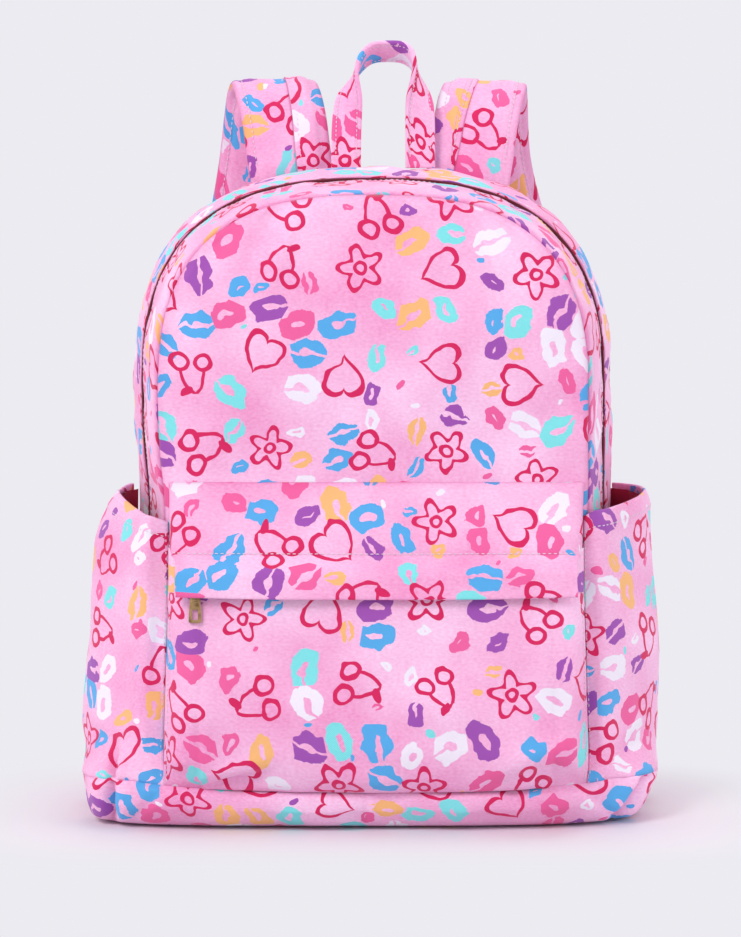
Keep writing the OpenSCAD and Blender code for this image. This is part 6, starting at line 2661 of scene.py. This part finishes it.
@dataclass
class Studio:
    """Pale floor that fades into the backdrop, soft lamps and the camera.

    The floor is lit within the fade's first distance of the bag's footprint and plain past its second.
    """

    look_at: Point = (0.0, 0.0, 0.245)
    distance: float = 2.4
    elevation: float = 5.0
    lens: float = 137.26
    shift: Pair = (-0.00267, -0.0238)
    footprint: tuple[float, float, float] = (0.172, 0.066, -0.007)
    fade: Pair = (0.012, 0.130)
    fill: float = 0.64

    def floor(self) -> None:
        """A disc of rings whose pale surface fades to the backdrop's own colour away from the bag."""
        radius = np.concatenate([[0.0], np.geomspace(0.2, 60.0, 24)])[:, None]
        angle = np.linspace(0, 2 * math.pi, 64, endpoint=False)[None, :]
        x, y = radius * np.cos(angle), radius * np.sin(angle)
        points = grid_of(x, y, -0.0004)
        closed = np.concatenate([points, points[:, :1]], axis=1)
        floor = make_piece("floor", [Surface(points[:, ::-1], closed[:, ::-1, :2], ring=True)])
        g = Graph.named("studio_floor")
        place = g.add("TexCoord", {}).outputs["Object"]
        px, py, _ = g.split(place)
        half_x, half_y, middle_y = self.footprint
        aside = (px.of("ABSOLUTE") - half_x).most(0.0)
        ahead = ((py - middle_y).of("ABSOLUTE") - half_y).most(0.0)
        far = (hypot(aside, ahead) - self.fade[0]) / (self.fade[1] - self.fade[0])
        far = far.most(0.0).least(1.0)
        far = far * far * (3.0 - far * 2.0)
        grain = g.noise(place, 900.0, 2.0)
        lit = g.add("BsdfPrincipled", {"Base Color": Tone.FLOOR.linear, "Roughness": grain * 0.1 + 0.55,
                                       "Specular IOR Level": 0.2}).outputs[0]
        plain = g.add("Emission", {"Color": Tone.BACKDROP.linear, "Strength": 1.0}).outputs[0]
        both = g.add("MixShader", {0: far, 1: lit, 2: plain}).outputs[0]
        g.add("OutputMaterial", {"Surface": both})
        floor.data.materials.append(g.owner)

    def world(self) -> None:
        """Backdrop colour where the camera or a reflection looks, soft fill light for the rest."""
        world = bpy.data.worlds.new("studio")
        bpy.context.scene.world = world
        g = Graph(world)
        rays = g.add("LightPath", {}).outputs
        seen = Term(g, rays["Is Camera Ray"]).most(Term(g, rays["Is Glossy Ray"]))
        clear = seen.most(Term(g, rays["Is Transmission Ray"]))
        fill = g.add("Background", {0: (1.0, 0.94, 0.98, 1.0), 1: self.fill}).outputs[0]
        back = g.add("Background", {0: Tone.BACKDROP.linear}).outputs[0]
        mix = g.add("MixShader", {0: clear, 1: fill, 2: back}).outputs[0]
        g.add("OutputWorld", {"Surface": mix})

    def aim(self, thing: Piece, place: Point) -> None:
        """Puts an object at a place, looking at the bag."""
        thing.location = place
        thing.rotation_euler = (Vector(self.look_at) - Vector(place)).to_track_quat("-Z", "Y").to_euler()

    def lamp(self, name: str, place: Point, size: float, power: float, tint: Point = (1.0, 1.0, 1.0)) -> None:
        """Adds a square area lamp that looks at the bag.

        Args:
            name: Name of the lamp.
            place: Where it hangs.
            size: Side of the square.
            power: Power in watts.
            tint: Colour of its light.
        """
        light = bpy.data.lights.new(name, "AREA")
        light.size, light.energy, light.color = size, power, tint
        self.aim(linked(name, light), place)

    def camera(self) -> None:
        """Camera in front of the bag, a little above its middle."""
        tilt = math.radians(self.elevation)
        x, y, z = self.look_at
        data = bpy.data.cameras.new("camera")
        data.lens, data.sensor_width = self.lens, 36.0
        data.shift_x, data.shift_y = self.shift
        camera = linked("camera", data)
        self.aim(camera, (x, y - self.distance * math.cos(tilt), z + self.distance * math.sin(tilt)))
        bpy.context.scene.camera = camera

    def build(self) -> None:
        """Sets the stage."""
        self.camera()
        self.floor()
        self.world()
        self.lamp("key", (-1.3, -1.9, 2.0), 0.9, 32.0, (1.0, 0.99, 0.98))
        self.lamp("fill", (2.3, -0.9, 0.9), 1.6, 20.0)
        self.lamp("side", (-2.3, -0.4, 0.8), 1.4, 12.0)
        self.lamp("top", (0.3, 0.4, 2.4), 1.4, 13.0)
        bpy.context.scene.view_settings.view_transform = "Standard"


# ---------------------------------------------------------------- backpack


def build_backpack() -> None:
    """Builds the whole backpack over the frame, from the front panel to the haul loop."""
    form = BodyForm.measured()
    shape = PocketForm.measured(form)
    still = Stitching("stitching_shell", Placing("shell"))
    folded = Stitching("stitching_lid_edge", folding(form, ()))
    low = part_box("rear_gusset")[0].z
    FrontPanel(form).build()
    Gussets(form, low, folded, still).build()
    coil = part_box("main_zip_coil_rear")
    zip_y = (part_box("main_zip_coil_front_upper")[0].y + coil[1].y) / 2
    MainZip(form, zip_y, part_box("main_slider")[0].x + 0.0026, coil[0].z).build()
    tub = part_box("base_tub")
    base = Base(form, tub[1].x, (tub[0].y + tub[1].y) / 2, (tub[1].y - tub[0].y) / 2)
    base.build()
    FrontPocket(shape, base, still).build()
    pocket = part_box("side_pocket_left")
    for side, rims, lean in ((-1, (0.2045, 0.2130), (0.0150, 0.036)), (1, (0.2085, 0.2135), (0.0035, 0.013))):
        SidePocket(form, shape, base, side, still, pocket[0].y, pocket[1].y, *rims, lean).build()
        LowerSide(form, side, low).build()
    BackPanel(form, still).build()
    for side in (-1, 1):
        word = hand(side)
        AnchorWing(side, still).build()
        Strap(side, *(((0.0037, 0.042), 0.0) if side < 0 else ((0.0118, -0.085), 0.0070))).build()
        StrapWebbing(side).build()
        Hardware(f"ladder_lock_{word}", f"strap_{word}", BUCKLE, "buckle", 0.0007).build()
        Hardware(f"ladder_lock_tab_{word}", f"strap_{word}", WEBBING_SOLID, "webbing", 0.0007).build()
    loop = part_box("haul_loop")
    held = Stitching("stitching_loop", Placing("shell", (), "printed_fabric", "haul_loop",
                                               (0.0, 0.069, loop[0].z), (0.0, 0.069, loop[0].z + 0.014)))
    HaulLoop(held, loop[0].x + 0.0355, loop[0].z, 0.0708).build()
    held.build()
    Interior(form).build()
    for node in ("main_slider", "main_puller", "pocket_slider", "pocket_puller"):
        Hardware(node, node, BRASS, "brass_hardware").build()
    for node in ("main_puller", "pocket_puller"):
        PullGrip(node, node).build()
    still.build()
    folded.build()


def main() -> None:
    """Builds the backpack and the studio, and logs each piece's face count."""
    logging.basicConfig(level=logging.INFO, format="%(message)s")
    build_backpack()
    Studio().build()


if __name__ == "__main__":
    main()
